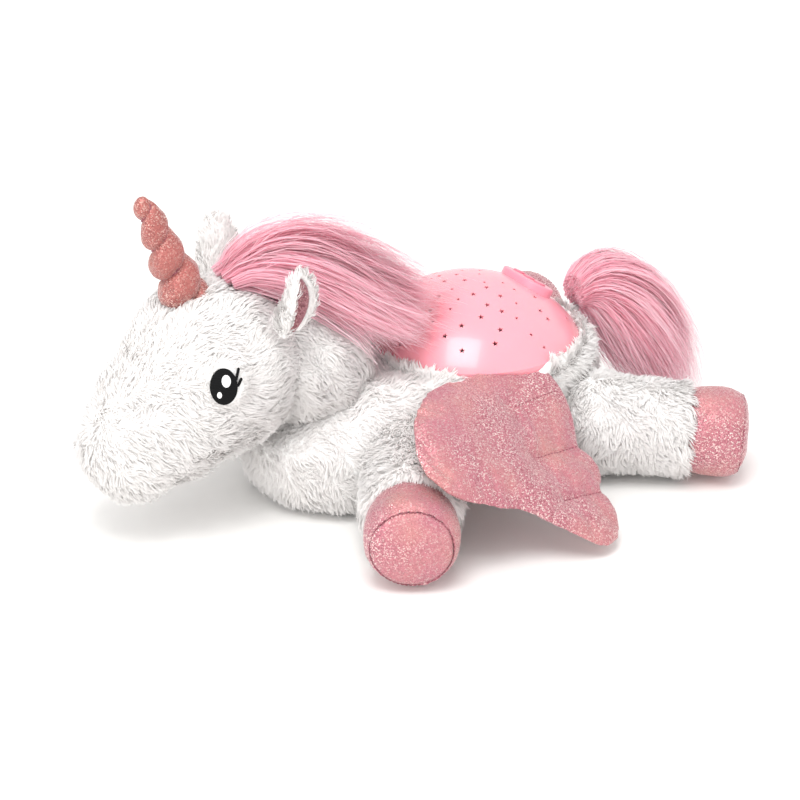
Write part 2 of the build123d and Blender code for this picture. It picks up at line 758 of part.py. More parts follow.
with BuildPart() as dome_ring:
    # ring plate screwed to the tray's posts; its edge clips into the dome's skirt
    with BuildSketch(Plane.XY.offset(SKIRT_Z)):
        with Locations((DOME_X, 0)):
            Circle(RIM_R - SHELL_WALL - 0.2)
            Circle(30, mode=Mode.SUBTRACT)
            with PolarLocations(*POST_CIRCLE):
                Circle(1.4, mode=Mode.SUBTRACT)
    extrude(amount=2.2)
save(dome_ring.part, "dome_ring")

with BuildPart() as base_screws:
    with BuildSketch(Plane.XY.offset(TRAY_Z + 2)):
        with Locations((DOME_X, 0)):
            with PolarLocations(*POST_CIRCLE):
                Circle(1.35)
    extrude(amount=SKIRT_Z - TRAY_Z)
save(base_screws.part, "base_screws")

with BuildPart() as battery_door:
    with BuildSketch(Plane.XY.offset(TRAY_Z)):
        with Locations((DOME_X, DOOR_Y)):
            RectangleRounded(DOOR[0], DOOR[1], 2.6)
    extrude(amount=DOOR[2])
    with BuildSketch(Plane.XY.offset(TRAY_Z)):
        with Locations((DOME_X, SCREW_Y)):
            Circle(1.5)
    extrude(amount=DOOR[2], mode=Mode.SUBTRACT)
    with BuildSketch(Plane.XY.offset(TRAY_Z)):
        with Locations((DOME_X, SCREW_Y)):
            Circle(3.0)
    extrude(amount=1.5, mode=Mode.SUBTRACT)
    # finger grips across the door
    with BuildSketch(Plane.XY.offset(TRAY_Z)):
        with Locations((DOME_X, -20)):
            with GridLocations(0, 3.2, 1, 4):
                SlotOverall(20, 1.4)
    extrude(amount=0.7, mode=Mode.SUBTRACT)
save(battery_door.part, "battery_door")

with BuildPart() as door_screw:
    with BuildSketch(Plane.XY.offset(TRAY_Z + 0.1)):
        with Locations((DOME_X, SCREW_Y)):
            Circle(2.5)
    extrude(amount=1.4)
    with BuildSketch(Plane.XY.offset(TRAY_Z + 1.5)):
        with Locations((DOME_X, SCREW_Y)):
            Circle(1.25)
    extrude(amount=7.5)
    with BuildSketch(Plane.XY.offset(TRAY_Z + 0.1)):
        with Locations((DOME_X, SCREW_Y)):
            Rectangle(3.6, 0.7)
            Rectangle(0.7, 3.6)
    extrude(amount=0.8, mode=Mode.SUBTRACT)
save(door_screw.part, "door_screw")

with BuildPart() as batteries:
    # three AAA cells side by side, each with its small end cap
    for column in (-1, 0, 1):
        cell_x = DOME_X + column * CELL_PITCH
        cell_z = TRAY_Z + DOOR[2] + 0.5 + AAA_R
        with BuildSketch(Plane(origin=(cell_x, -AAA_LENGTH / 2, cell_z), z_dir=(0, 1, 0))):
            Circle(AAA_R)
        extrude(amount=AAA_LENGTH - 0.8)
        with BuildSketch(Plane(origin=(cell_x, AAA_LENGTH / 2 - 0.8, cell_z), z_dir=(0, 1, 0))):
            Circle(1.9)
        extrude(amount=0.8)
save(batteries.part, "batteries")

with BuildPart() as battery_contacts:
    # a plate at each end of every cell
    for column in (-1, 0, 1):
        for end in (-1, 1):
            with BuildSketch(Plane.XY.offset(TRAY_Z + DOOR[2] + 1.5)):
                with Locations((DOME_X + column * CELL_PITCH, end * (AAA_LENGTH / 2 + 0.9))):
                    Rectangle(7.5, 0.5)
            extrude(amount=8)
save(battery_contacts.part, "battery_contacts")

# ---------------------------------------------------------------- projector: lamp
LAMP_Z = BAY_TOP + 1.5 + 20
with BuildPart() as lamp_board:
    with BuildSketch(Plane.XY.offset(LAMP_Z)):
        with Locations((DOME_X, 0)):
            Circle(20)
    extrude(amount=1.6)
save(lamp_board.part, "lamp_board")

with BuildPart() as lamp_leds:
    with BuildSketch(Plane.XY.offset(LAMP_Z + 1.6)):
        with Locations((DOME_X, 0)):
            with PolarLocations(5, 4, 45):
                Circle(2.5)
    extrude(amount=5)
    fillet(lamp_leds.faces().sort_by(Axis.Z)[-4:].edges(), 2.0)
save(lamp_leds.part, "lamp_leds")

with BuildPart() as lamp_reflector:
    # white cone that keeps the light off the tray
    with BuildSketch(Plane.XZ):
        with BuildLine():
            Polyline(
                (DOME_X + 12, LAMP_Z + 1.7),
                (DOME_X + 24, LAMP_Z + 12),
                (DOME_X + 24, LAMP_Z + 13.4),
                (DOME_X + 10.6, LAMP_Z + 1.7),
                close=True,
            )
        make_face()
    revolve(axis=dome_axis)
save(lamp_reflector.part, "lamp_reflector")
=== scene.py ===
"""Plush unicorn night light: the finished look of every piece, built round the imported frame."""
import json
import math

import bmesh
import bpy
import numpy as np
from mathutils import Matrix, Vector, noise
from mathutils.kdtree import KDTree


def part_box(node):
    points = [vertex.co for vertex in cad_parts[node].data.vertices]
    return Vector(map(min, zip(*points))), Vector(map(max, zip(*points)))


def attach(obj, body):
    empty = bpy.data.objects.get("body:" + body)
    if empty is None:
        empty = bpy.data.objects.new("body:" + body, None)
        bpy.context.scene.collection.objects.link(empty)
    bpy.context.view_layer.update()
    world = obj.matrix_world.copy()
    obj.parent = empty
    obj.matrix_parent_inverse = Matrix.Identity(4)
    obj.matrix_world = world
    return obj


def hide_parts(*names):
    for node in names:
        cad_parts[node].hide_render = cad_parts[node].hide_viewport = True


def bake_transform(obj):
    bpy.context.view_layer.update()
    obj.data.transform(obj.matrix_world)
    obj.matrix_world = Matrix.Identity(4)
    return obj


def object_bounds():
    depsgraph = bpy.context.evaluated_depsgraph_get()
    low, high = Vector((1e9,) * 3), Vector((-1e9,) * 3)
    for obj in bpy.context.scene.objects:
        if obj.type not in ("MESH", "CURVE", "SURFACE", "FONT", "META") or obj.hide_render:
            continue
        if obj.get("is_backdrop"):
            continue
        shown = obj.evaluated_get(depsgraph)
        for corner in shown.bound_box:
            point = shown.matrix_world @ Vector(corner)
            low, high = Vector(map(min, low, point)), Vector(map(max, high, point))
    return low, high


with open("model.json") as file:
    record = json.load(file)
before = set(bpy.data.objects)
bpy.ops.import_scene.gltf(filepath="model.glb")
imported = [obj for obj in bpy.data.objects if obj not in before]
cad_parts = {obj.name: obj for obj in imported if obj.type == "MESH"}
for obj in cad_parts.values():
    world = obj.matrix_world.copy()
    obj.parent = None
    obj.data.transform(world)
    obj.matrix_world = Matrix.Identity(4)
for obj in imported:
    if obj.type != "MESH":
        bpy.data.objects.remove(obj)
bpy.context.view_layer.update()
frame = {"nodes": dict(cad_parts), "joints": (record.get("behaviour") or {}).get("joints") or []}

MM = 0.001

# ---------------------------------------------------------------- camera
# A long lens a little over the toy's back, in front of its left shoulder, so that the face, the
# near wing and the dome are all seen.
AIM = Vector((0.0157, 0.0056, 0.0399))
VIEW_TURN, VIEW_RISE, VIEW_REACH = math.radians(-30), math.radians(25), 1.4

to_camera = Vector((
    math.sin(VIEW_TURN) * math.cos(VIEW_RISE),
    -math.cos(VIEW_TURN) * math.cos(VIEW_RISE),
    math.sin(VIEW_RISE),
))
camera = bpy.data.objects.new("camera", bpy.data.cameras.new("camera"))
bpy.context.collection.objects.link(camera)
camera.data.lens = 105
camera.location = AIM + to_camera * VIEW_REACH
camera.rotation_euler = (-to_camera).to_track_quat("-Z", "Y").to_euler()
bpy.context.scene.camera = camera

# ---------------------------------------------------------------- floor and light
# White paper sweep under an overhead softbox, with a weaker one in front: soft contact shadows,
# and one broad highlight on the dome.
FLOOR_SIZE = 5.0
FLOOR_WHITE = "FBFAF8"
SKY_STRENGTH = 1.06
# name, direction from the aim, distance, side of the softbox, watts
SOFTBOXES = [
    ("overhead", (-0.28, -0.32, 0.90), 1.5, 0.7, 11.0),
    ("front", (-0.85, -0.45, 0.35), 1.8, 1.0, 7.0),
]


def colour(code):
    """sRGB hex code as a linear colour."""
    parts = [int(code[i:i + 2], 16) / 255 for i in (0, 2, 4)]
    return [p / 12.92 if p <= 0.04045 else ((p + 0.055) / 1.055) ** 2.4 for p in parts] + [1.0]


def add_node(tree, kind, links=None, **settings):
    """A node with its settings, and for each input a value or the output that feeds it."""
    node = tree.nodes.new("ShaderNode" + kind)
    for key, value in settings.items():
        setattr(node, key, value)
    for key, value in (links or {}).items():
        if isinstance(value, bpy.types.NodeSocket):
            tree.links.new(value, node.inputs[key])
        else:
            node.inputs[key].default_value = value
    return node


def new_material(name, **uniform):
    """A material with one Principled shader; uniform values go straight onto its sockets."""
    made = bpy.data.materials.new(name)
    made.use_nodes = True
    shader = made.node_tree.nodes["Principled BSDF"]
    for key, value in uniform.items():
        shader.inputs[key.replace("_", " ")].default_value = value
    return made, made.node_tree, shader


paper, tree, shader = new_material("white_paper", Roughness=0.9)
place = add_node(tree, "TexCoord").outputs["Object"]
grain = add_node(tree, "TexNoise", {"Vector": place, "Scale": 60.0, "Detail": 2.0})
tone = add_node(tree, "ValToRGB", {"Fac": grain.outputs["Fac"]})
tone.color_ramp.elements[0].color = colour("F6F5F3")
tone.color_ramp.elements[1].color = colour(FLOOR_WHITE)
tree.links.new(tone.outputs["Color"], shader.inputs["Base Color"])

form = bmesh.new()
bmesh.ops.create_grid(form, x_segments=4, y_segments=4, size=FLOOR_SIZE)
floor = bpy.data.objects.new("floor", bpy.data.meshes.new("floor"))
form.to_mesh(floor.data)
form.free()
floor.data.materials.append(paper)
bpy.context.collection.objects.link(floor)
floor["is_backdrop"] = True

world = bpy.data.worlds.new("studio")
world.use_nodes = True
world.node_tree.nodes["Background"].inputs["Color"].default_value = colour("FFFFFF")
world.node_tree.nodes["Background"].inputs["Strength"].default_value = SKY_STRENGTH
bpy.context.scene.world = world
bpy.context.scene.view_settings.view_transform = "Standard"

for name, direction, distance, side, watts in SOFTBOXES:
    lamp = bpy.data.lights.new(name, "AREA")
    lamp.shape, lamp.size, lamp.energy = "SQUARE", side, watts
    softbox = bpy.data.objects.new(name, lamp)
    softbox.location = AIM + Vector(direction).normalized() * distance
    softbox.rotation_euler = (-Vector(direction)).to_track_quat("-Z", "Y").to_euler()
    bpy.context.collection.objects.link(softbox)

# ---------------------------------------------------------------- trunk
# One bag of white short-pile plush over fibre filling, with a round well for the projector and a
# slot under the belly for its battery door. The pile is brushed back and down.
PILE_LENGTH = 6.5 * MM
PILE_SPACING = 1.0 * MM
PILE_WIDTH = 0.8 * MM
PILE_ROOM = 3.0 * MM        # how far the woven skin lies inside the pile's surface
TRUNK_VOXEL = 3 * MM

trunk_low, trunk_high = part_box("body_skin")
dome_low, dome_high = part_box("dome_shell")
dome_middle = (dome_low + dome_high) / 2
rim_r = (dome_high.x - dome_low.x) / 2
rim_z = dome_low.z + 8 * MM
rump_r = (trunk_high.y - trunk_low.y) / 2 - PILE_ROOM
rump_x = trunk_high.x - rump_r - PILE_ROOM
chest_r = 60 * MM
chest_x = trunk_low.x + chest_r + PILE_ROOM
# centre of the disc, its height, its radius: the trunk is the hull of these
TRUNK_DISCS = [
    (chest_x, 1.0 * MM, chest_r - 18 * MM), (rump_x, 1.0 * MM, rump_r - 18 * MM),
    (chest_x, 9 * MM, chest_r - 5 * MM), (rump_x, 9 * MM, rump_r - 5 * MM),
    (chest_x, 22 * MM, chest_r), (rump_x, 22 * MM, rump_r),
    (chest_x, 42 * MM, chest_r), (rump_x, 66 * MM, rump_r),
    (chest_x + 24 * MM, 60 * MM, chest_r), (chest_x + 48 * MM, 75 * MM, chest_r - 4 * MM),
    (rump_x, 76 * MM, rump_r - 4 * MM),
]
WELL_EDGE = 1.2 * MM        # bare skin left round the well
# radius and height of the well that the projector sits in
WELL = [(0, 9), (45.3, 9), (45.3, 50), (64.6, 64), (65.3, 66), (65.3, 95), (0, 95)]


def lathe(profile, steps=48):
    """A closed form of revolution about Z, from (radius, height) points."""
    form = bmesh.new()
    line = [form.verts.new((radius, 0, height)) for radius, height in profile]
    edges = [form.edges.new(pair) for pair in zip(line, line[1:])]
    bmesh.ops.spin(
        form, geom=line + edges, axis=(0, 0, 1), cent=(0, 0, 0),
        angle=2 * math.pi, steps=steps, use_merge=True,
    )
    bmesh.ops.remove_doubles(form, verts=form.verts, dist=1e-6)
    bmesh.ops.recalc_face_normals(form, faces=form.faces)
    return form


def rumple(form, depth, size, seed):
    """Uneven filling: every vertex moves along its normal by a soft noise."""
    form.normal_update()
    for vert in form.verts:
        lump = noise.noise(vert.co / size + Vector((seed, 2.7 * seed, 0)))
        vert.co += vert.normal * depth * lump


def new_piece(name, form, look, body, slot, *nodes):
    """A smooth-shaded object from a form, riding on a body and standing for its CAD nodes."""
    mesh = bpy.data.meshes.new(name)
    form.to_mesh(mesh)
    form.free()
    piece = bpy.data.objects.new(name, mesh)
    bpy.context.collection.objects.link(piece)
    mesh.materials.append(look)
    mesh.shade_smooth()
    if body:
        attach(piece, body)
    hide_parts(*nodes)
    return piece


def bake_modifiers(piece):
    """Makes what the modifiers give the piece's own mesh."""
    bpy.context.view_layer.update()
    evaluated = piece.evaluated_get(bpy.context.evaluated_depsgraph_get())
    made = bpy.data.meshes.new_from_object(evaluated)
    piece.modifiers.clear()
    piece.data = made
    made.shade_smooth()


def even_skin(piece, voxel, rounds):
    """One closed skin of even cells over overlapping forms, with its corners rubbed off."""
    remesh = piece.modifiers.new("even", "REMESH")
    remesh.mode, remesh.voxel_size = "VOXEL", voxel
    soften = piece.modifiers.new("soften", "SMOOTH")
    soften.factor, soften.iterations = 0.5, rounds
    bake_modifiers(piece)


def lay_pile(name, skin, comb, trim, body, seed, length=PILE_LENGTH, spacing=PILE_SPACING):
    """Short pile over a skin: a bent tapered blade at each root, drawn together in tufts.

    comb gives the way that the pile is brushed at each root, and trim its share of full length.
    """
    rng = np.random.default_rng(seed)
    mesh = skin.data
    mesh.calc_loop_triangles()
    corners = np.empty(len(mesh.loop_triangles) * 3, int)
    mesh.loop_triangles.foreach_get("vertices", corners)
    corners = corners.reshape(-1, 3)
    spots = np.empty(len(mesh.vertices) * 3)
    mesh.vertices.foreach_get("co", spots)
    spots = spots.reshape(-1, 3)
    ways = np.empty(len(mesh.vertices) * 3)
    mesh.vertices.foreach_get("normal", ways)
    ways = ways.reshape(-1, 3)
    a, b, c = (spots[corners[:, k]] for k in range(3))
    area = np.linalg.norm(np.cross(b - a, c - a), axis=1) / 2
    count = int(area.sum() / spacing**2)
    chosen = rng.choice(len(area), count, p=area / area.sum())
    u, v = rng.random((2, count, 1))
    u, v = np.where(u + v > 1, 1 - u, u), np.where(u + v > 1, 1 - v, v)
    root = a[chosen] + u * (b - a)[chosen] + v * (c - a)[chosen]
    normal = ways[corners[chosen, 0]] * (1 - u - v)
    normal += ways[corners[chosen, 1]] * u + ways[corners[chosen, 2]] * v
    share = trim(root)
    kept = share > 0.05
    root, normal, share = root[kept], normal[kept], share[kept]
    normal /= np.linalg.norm(normal, axis=1, keepdims=True)
    count = len(root)

    flow = comb(root)
    flow = flow - normal * (flow * normal).sum(1, keepdims=True)
    flow /= np.linalg.norm(flow, axis=1, keepdims=True) + 1e-9
    # the pile curls: its direction swings in soft patches
    swing = 1.7 * np.array([noise.noise(Vector(p) / (11 * MM) + Vector((9, 4, seed))) for p in root])
    flow = flow * np.cos(swing)[:, None] + np.cross(normal, flow) * np.sin(swing)[:, None]
    lumps = np.array([noise.noise(Vector(p) / (9 * MM)) for p in root])
    size = length * share * (0.85 + 0.35 * rng.random(count) + 0.35 * lumps)
    size = size[:, None]
    lean = 0.55 + 0.45 * rng.random((count, 1))
    stray = rng.normal(0, 0.16, (count, 3))
    tip = root + size * (0.4 * normal + lean * flow + stray)

    knots = rng.choice(count, max(count // 30, 1), replace=False)
    tree = KDTree(len(knots))
    for index, knot in enumerate(knots):
        tree.insert(root[knot], index)
    tree.balance()
    nearest = np.array([knots[tree.find(p)[1]] for p in root])
    tip += 0.35 * (tip[nearest] - tip)
    middle = root + 0.5 * (tip - root) + 0.14 * size * normal

    run = tip - root
    run /= np.linalg.norm(run, axis=1, keepdims=True) + 1e-9
    side = np.cross(run, normal + 0.15 * rng.normal(size=(count, 3)))
    side /= np.linalg.norm(side, axis=1, keepdims=True) + 1e-9
    side *= 0.5 * PILE_WIDTH * (0.7 + 0.6 * rng.random((count, 1)))
    verts = np.stack([root - side, root + side, middle + 0.75 * side, middle - 0.75 * side, tip], 1)
    verts[..., 2] = np.maximum(verts[..., 2], 0.3 * MM)
    first = 5 * np.arange(count)[:, None]
    faces = (first + [0, 1, 2, 3]).tolist() + (first + [3, 2, 4]).tolist()
    pile = bpy.data.meshes.new(name)
    pile.from_pydata(verts.reshape(-1, 3).tolist(), [], faces)
    pile.shade_smooth()
    pile.normals_split_custom_set_from_vertices(np.repeat(normal, 5, axis=0).tolist())
    # tone differs at random from blade to blade, and is lower where the pile is shorter: painted shade
    # in its hollows
    shade = np.clip(0.55 + 0.5 * lumps + 0.12 * rng.normal(size=count), 0, 1)
    depth = np.array([0.0, 0.0, 0.6, 0.6, 1.0])
    pile.attributes.new("tone", "FLOAT", "POINT").data.foreach_set("value", np.repeat(shade, 5))
    pile.attributes.new("depth", "FLOAT", "POINT").data.foreach_set("value", np.tile(depth, count))
    piece = bpy.data.objects.new(name, pile)
    bpy.context.collection.objects.link(piece)
    pile.materials.append(white_pile)
    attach(piece, body)
    return piece


def pass_light(tree, shader, tint, share):
    """Thin fibres let a share of the light through: a translucent layer of their own colour."""
    through = add_node(tree, "BsdfTranslucent", {"Color": tint})
    fibre = add_node(tree, "MixShader", {0: share, 1: shader.outputs[0], 2: through.outputs[0]})
    tree.links.new(fibre.outputs[0], tree.nodes["Material Output"].inputs["Surface"])


# Brushed polyester pile: bright tips over slightly warmer roots, with painted shade at the roots.
white_pile, tree, shader = new_material(
    "brushed_polyester_pile", Roughness=0.85, Sheen_Weight=0.5, Sheen_Roughness=0.6
)
depth = add_node(tree, "Attribute", attribute_name="depth").outputs["Fac"]
tone = add_node(tree, "Attribute", attribute_name="tone").outputs["Fac"]
ends = add_node(tree, "ValToRGB", {"Fac": tone})
ends.color_ramp.elements[0].color = colour("F3F0EE")
ends.color_ramp.elements[1].color = colour("FBF9F8")
mixed = add_node(
    tree, "Mix", {0: depth, 6: colour("F6F3F1"), 7: ends.outputs["Color"]}, data_type="RGBA"
)
tree.links.new(mixed.outputs[2], shader.inputs["Base Color"])
pass_light(tree, shader, mixed.outputs[2], 0.22)

def knitted(name, low_code, high_code, pitch, strength, relief, **uniform):
    """Knitted ground that pile is rooted in: small round loops, darker between them, painted shade
    where the knit sinks.
    """
    made, tree, shader = new_material(name, **uniform)
    place = add_node(tree, "TexCoord").outputs["Object"]
    knit = add_node(tree, "TexVoronoi", {"Vector": place, "Scale": 1 / pitch})
    tone = add_node(tree, "ValToRGB", {"Fac": knit.outputs["Distance"]})
    tone.color_ramp.elements[0].color = colour(low_code)
    tone.color_ramp.elements[1].color = colour(high_code)
    tree.links.new(tone.outputs["Color"], shader.inputs["Base Color"])
    raised = add_node(tree, "Bump", {"Height": knit.outputs["Distance"], "Strength": strength,
                                     "Distance": relief})
    tree.links.new(raised.outputs["Normal"], shader.inputs["Normal"])
    return made


# Ground of the white plush, seen only between tufts.
white_ground = knitted(
    "plush_ground", "F3F1EF", "FCFBFA", 1.2 * MM, 0.5, 0.6 * MM, Roughness=0.95, Sheen_Weight=0.1
)


def cut(piece, tool):
    """Takes a closed tool form out of a piece."""
    mesh = bpy.data.meshes.new("tool")
    tool.to_mesh(mesh)
    tool.free()
    cutter = bpy.data.objects.new("tool", mesh)
    bpy.context.collection.objects.link(cutter)
    hollow = piece.modifiers.new("hollow", "BOOLEAN")
    hollow.object, hollow.operation, hollow.solver = cutter, "DIFFERENCE", "EXACT"
    bake_modifiers(piece)
    bpy.data.objects.remove(cutter)


form = bmesh.new()
for x, height, radius in TRUNK_DISCS:
    spot = Matrix.Translation((x, 0, height))
    bmesh.ops.create_circle(form, segments=64, radius=radius, matrix=spot)
bmesh.ops.convex_hull(form, input=form.verts)
trunk = new_piece(
    "trunk_skin", form, white_ground, "body", "plush_white", "body_skin", "body_stuffing"
)
even_skin(trunk, TRUNK_VOXEL, 6)
well = lathe([(radius * MM, height * MM) for radius, height in WELL], 64)
bmesh.ops.translate(well, verts=well.verts, vec=(dome_middle.x, 0, 0))
cut(trunk, well)
door_low, door_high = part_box("battery_door")
slot_form = bmesh.new()
bmesh.ops.create_cube(slot_form, size=1.0)
bmesh.ops.scale(
    slot_form, verts=slot_form.verts,
    vec=(door_high.x - door_low.x + 8 * MM, door_high.y - door_low.y + 8 * MM, 40 * MM),
)
upright = [e for e in slot_form.edges if abs((e.verts[0].co - e.verts[1].co).z) > 20 * MM]
bmesh.ops.bevel(
    slot_form, geom=upright, offset=6 * MM, offset_type="OFFSET", segments=5, profile=0.5,
    affect="EDGES", material=-1,
)
bmesh.ops.translate(slot_form, verts=slot_form.verts, vec=((door_low + door_high) / 2))
cut(trunk, slot_form)


def trunk_trim(root):
    """No pile inside the well or the battery slot, or under the dome."""
    out = np.hypot(root[:, 0] - dome_middle.x, root[:, 1])
    share = np.ones(len(root))
    wall = np.array(WELL[2:5]) * MM
    well_r = np.interp(root[:, 2], wall[:, 1], wall[:, 0])
    share[(out < well_r + WELL_EDGE) & (root[:, 2] > 3 * MM)] = 0
    in_slot = (abs(root[:, 0] - dome_middle.x) < 26 * MM) & (abs(root[:, 1]) < 42 * MM)
    share[in_slot & (root[:, 2] < 12 * MM)] = 0
    share[root[:, 2] < 1.6 * MM] *= 0.4
    return share


lay_pile(
    "trunk_pile", trunk, lambda root: np.tile([0.75, 0.0, -0.65], (len(root), 1)),
    trunk_trim, "body", seed=3, spacing=1.35 * MM,
)

# ---------------------------------------------------------------- dome hem
# The plush is turned in and gathered round the dome's rim, so that a soft roll of pile stands up
# against the plastic. It opens where the wings are sewn in under the rim.
HEM_GATHERS = 44
WING_TURN, WING_SPREAD = 104, 26      # where a wing is sewn in round the rim, in degrees

profile = [
    (rim_r - 1.0 * MM, rim_z - 9 * MM), (rim_r + 1.6 * MM, rim_z - 8 * MM),
    (rim_r + 3.0 * MM, rim_z - 4 * MM), (rim_r + 3.0 * MM, rim_z - 1 * MM),
    (rim_r + 2.0 * MM, rim_z + 1.0 * MM), (rim_r + 0.5 * MM, rim_z + 1.2 * MM),
    (rim_r + 0.2 * MM, rim_z - 1 * MM), (rim_r + 0.2 * MM, rim_z - 8 * MM),
    (rim_r - 1.0 * MM, rim_z - 9 * MM),
]
form = lathe(profile, 132)
for vert in form.verts:
    turn = math.atan2(vert.co.y, vert.co.x)
    if vert.co.xy.length > rim_r + 1 * MM:
        vert.co.xy *= 1 + 0.35 * MM / rim_r * math.cos(HEM_GATHERS * turn)
    off_root = abs(abs(math.degrees(turn)) - WING_TURN) - WING_SPREAD
    vert.co.z -= 4.5 * MM * max(0.0, min(1.0, -off_root / 6))
bmesh.ops.translate(form, verts=form.verts, vec=(dome_middle.x, 0, 0))
hem = new_piece("dome_hem_roll", form, white_ground, "body", "plush_hem", "dome_hem")


def off_wings(root):
    """Share of pile left on the hem: little where a wing's root is sewn in."""
    turn = np.degrees(np.arctan2(np.abs(root[:, 1]), root[:, 0] - dome_middle.x))
    under_wing = abs(turn - WING_TURN) < WING_SPREAD
    inner = np.hypot(root[:, 0] - dome_middle.x, root[:, 1]) < rim_r + 0.6 * MM
    return np.where(inner, 0, np.where(under_wing, 0, 0.9))


def hem_comb(root):
    """Up against the plastic."""
    out = np.stack([root[:, 0] - dome_middle.x, root[:, 1], np.zeros(len(root))], 1)
    return -0.5 * out / rim_r + [0, 0, 0.6]


lay_pile("dome_hem_pile", hem, hem_comb, off_wings, "body", seed=4, spacing=1.0 * MM)

# ---------------------------------------------------------------- legs and hooves
# Four plush tubes sewn to the trunk. Each ends in a hoof: a sock of glitter fabric gathered onto
# a round sole, with the sole's seam topstitched.
LEG_BALL, LEG_R = 29 * MM, 26.3 * MM
HOOF_R, HOOF_LENGTH = 26.2 * MM, 35 * MM
SOLE_R = 22.6 * MM
HOOF_GATHERS = 26
STITCH_LENGTH, STITCH_R = 2.3 * MM, 0.34 * MM

# Glitter fabric: a knit coated with metallic flakes that each catch the light their own way, each flake
# with its own tilted normal and its colour set at random from dark to near white, painted glints and
# painted shade.
# The flakes are drawn about 0.6 mm across, coarser than real ones, so that they show.
FLAKE = 0.6 * MM


def glitter_fabric(name, base, bright, dark, warm):
    made, tree, shader = new_material(name, Metallic=0.35, Sheen_Weight=0.25)
    place = add_node(tree, "TexCoord").outputs["Object"]
    flakes = add_node(tree, "TexVoronoi", {"Vector": place, "Scale": 1 / FLAKE})
    random = add_node(tree, "SeparateColor", {"Color": flakes.outputs["Color"]})
    cloud = add_node(tree, "TexNoise", {"Vector": place, "Scale": 1 / (28 * MM), "Detail": 2.0})
    drift = add_node(tree, "ValToRGB", {"Fac": cloud.outputs["Fac"]})
    drift.color_ramp.elements[0].position, drift.color_ramp.elements[1].position = 0.38, 0.66
    drift.color_ramp.elements[0].color = colour(base)
    drift.color_ramp.elements[1].color = colour(warm)
    # each flake's colour runs from dark through the base to near white: painted glints and painted
    # shade on the flakes
    shine = add_node(tree, "ValToRGB", {"Fac": random.outputs["Red"]})
    shine.color_ramp.elements[0].color = colour(dark)
    shine.color_ramp.elements[1].color = colour(bright)
    shine.color_ramp.elements.new(0.4).color = colour(base)
    shine.color_ramp.elements.new(0.72).color = colour(base)
    # the flakes' painted glints and painted shade show more strongly in some patches than in others
    patch = add_node(tree, "TexNoise", {"Vector": place, "Scale": 1 / (40 * MM), "Detail": 1.0})
    thick = add_node(tree, "MapRange", {"Value": patch.outputs["Fac"], "From Min": 0.38,
                                        "From Max": 0.62, "To Min": 0.35, "To Max": 0.95})
    mixed = add_node(
        tree, "Mix", {0: thick.outputs["Result"], 6: drift.outputs["Color"], 7: shine.outputs["Color"]},
        data_type="RGBA",
    )
    tree.links.new(mixed.outputs[2], shader.inputs["Base Color"])
    rough = add_node(tree, "MapRange", {"Value": random.outputs["Green"], "To Min": 0.22,
                                        "To Max": 0.6})
    tree.links.new(rough.outputs["Result"], shader.inputs["Roughness"])
    facing = add_node(tree, "NewGeometry").outputs["Normal"]
    centred = add_node(tree, "VectorMath", {0: flakes.outputs["Color"], 1: (0.5, 0.5, 0.5)},
                       operation="SUBTRACT")
    tilted = add_node(tree, "VectorMath", {0: centred.outputs[0], 1: (0.75, 0.75, 0.75), 2: facing},
                      operation="MULTIPLY_ADD")
    level = add_node(tree, "VectorMath", {0: tilted.outputs[0]}, operation="NORMALIZE")
    creases = add_node(tree, "TexNoise", {"Vector": place, "Scale": 1 / (6 * MM), "Detail": 3.0})
    raised = add_node(tree, "Bump", {"Height": creases.outputs["Fac"], "Strength": 0.35,
                                     "Distance": 1.2 * MM, "Normal": level.outputs[0]})
    tree.links.new(raised.outputs["Normal"], shader.inputs["Normal"])
    return made


glitter_rose = glitter_fabric("glitter_knit_rose", "BC7480", "FFEDE4", "8A4854", "CB8B86")
rose_thread, tree, shader = new_material("polyester_thread_rose", Roughness=0.6)
place = add_node(tree, "TexCoord").outputs["Object"]
twist = add_node(tree, "TexWave", {"Vector": place, "Scale": 1 / (1.1 * MM), "Distortion": 1.0})
# darker and lighter bands for the twist: painted shade in the thread's grooves
tone = add_node(tree, "ValToRGB", {"Fac": twist.outputs["Fac"]})
tone.color_ramp.elements[0].color = colour("7E3F4D")
tone.color_ramp.elements[1].color = colour("A9606E")
tree.links.new(tone.outputs["Color"], shader.inputs["Base Color"])


def stitch_row(points, faces_out):
    """A row of short thread stitches laid between points, each a small spindle."""
    row = bmesh.new()
    for start, end, out in zip(points, points[1:], faces_out):
        middle, run = (start + end) / 2, end - start
        turn = run.normalized().to_track_quat("Z", "Y").to_matrix().to_4x4()
        size = Matrix.Diagonal((STITCH_R, STITCH_R, 0.36 * run.length, 1))
        spot = Matrix.Translation(middle + out * STITCH_R * 0.5) @ turn @ size
        bmesh.ops.create_uvsphere(row, u_segments=6, v_segments=5, radius=1.0, matrix=spot)
    return row


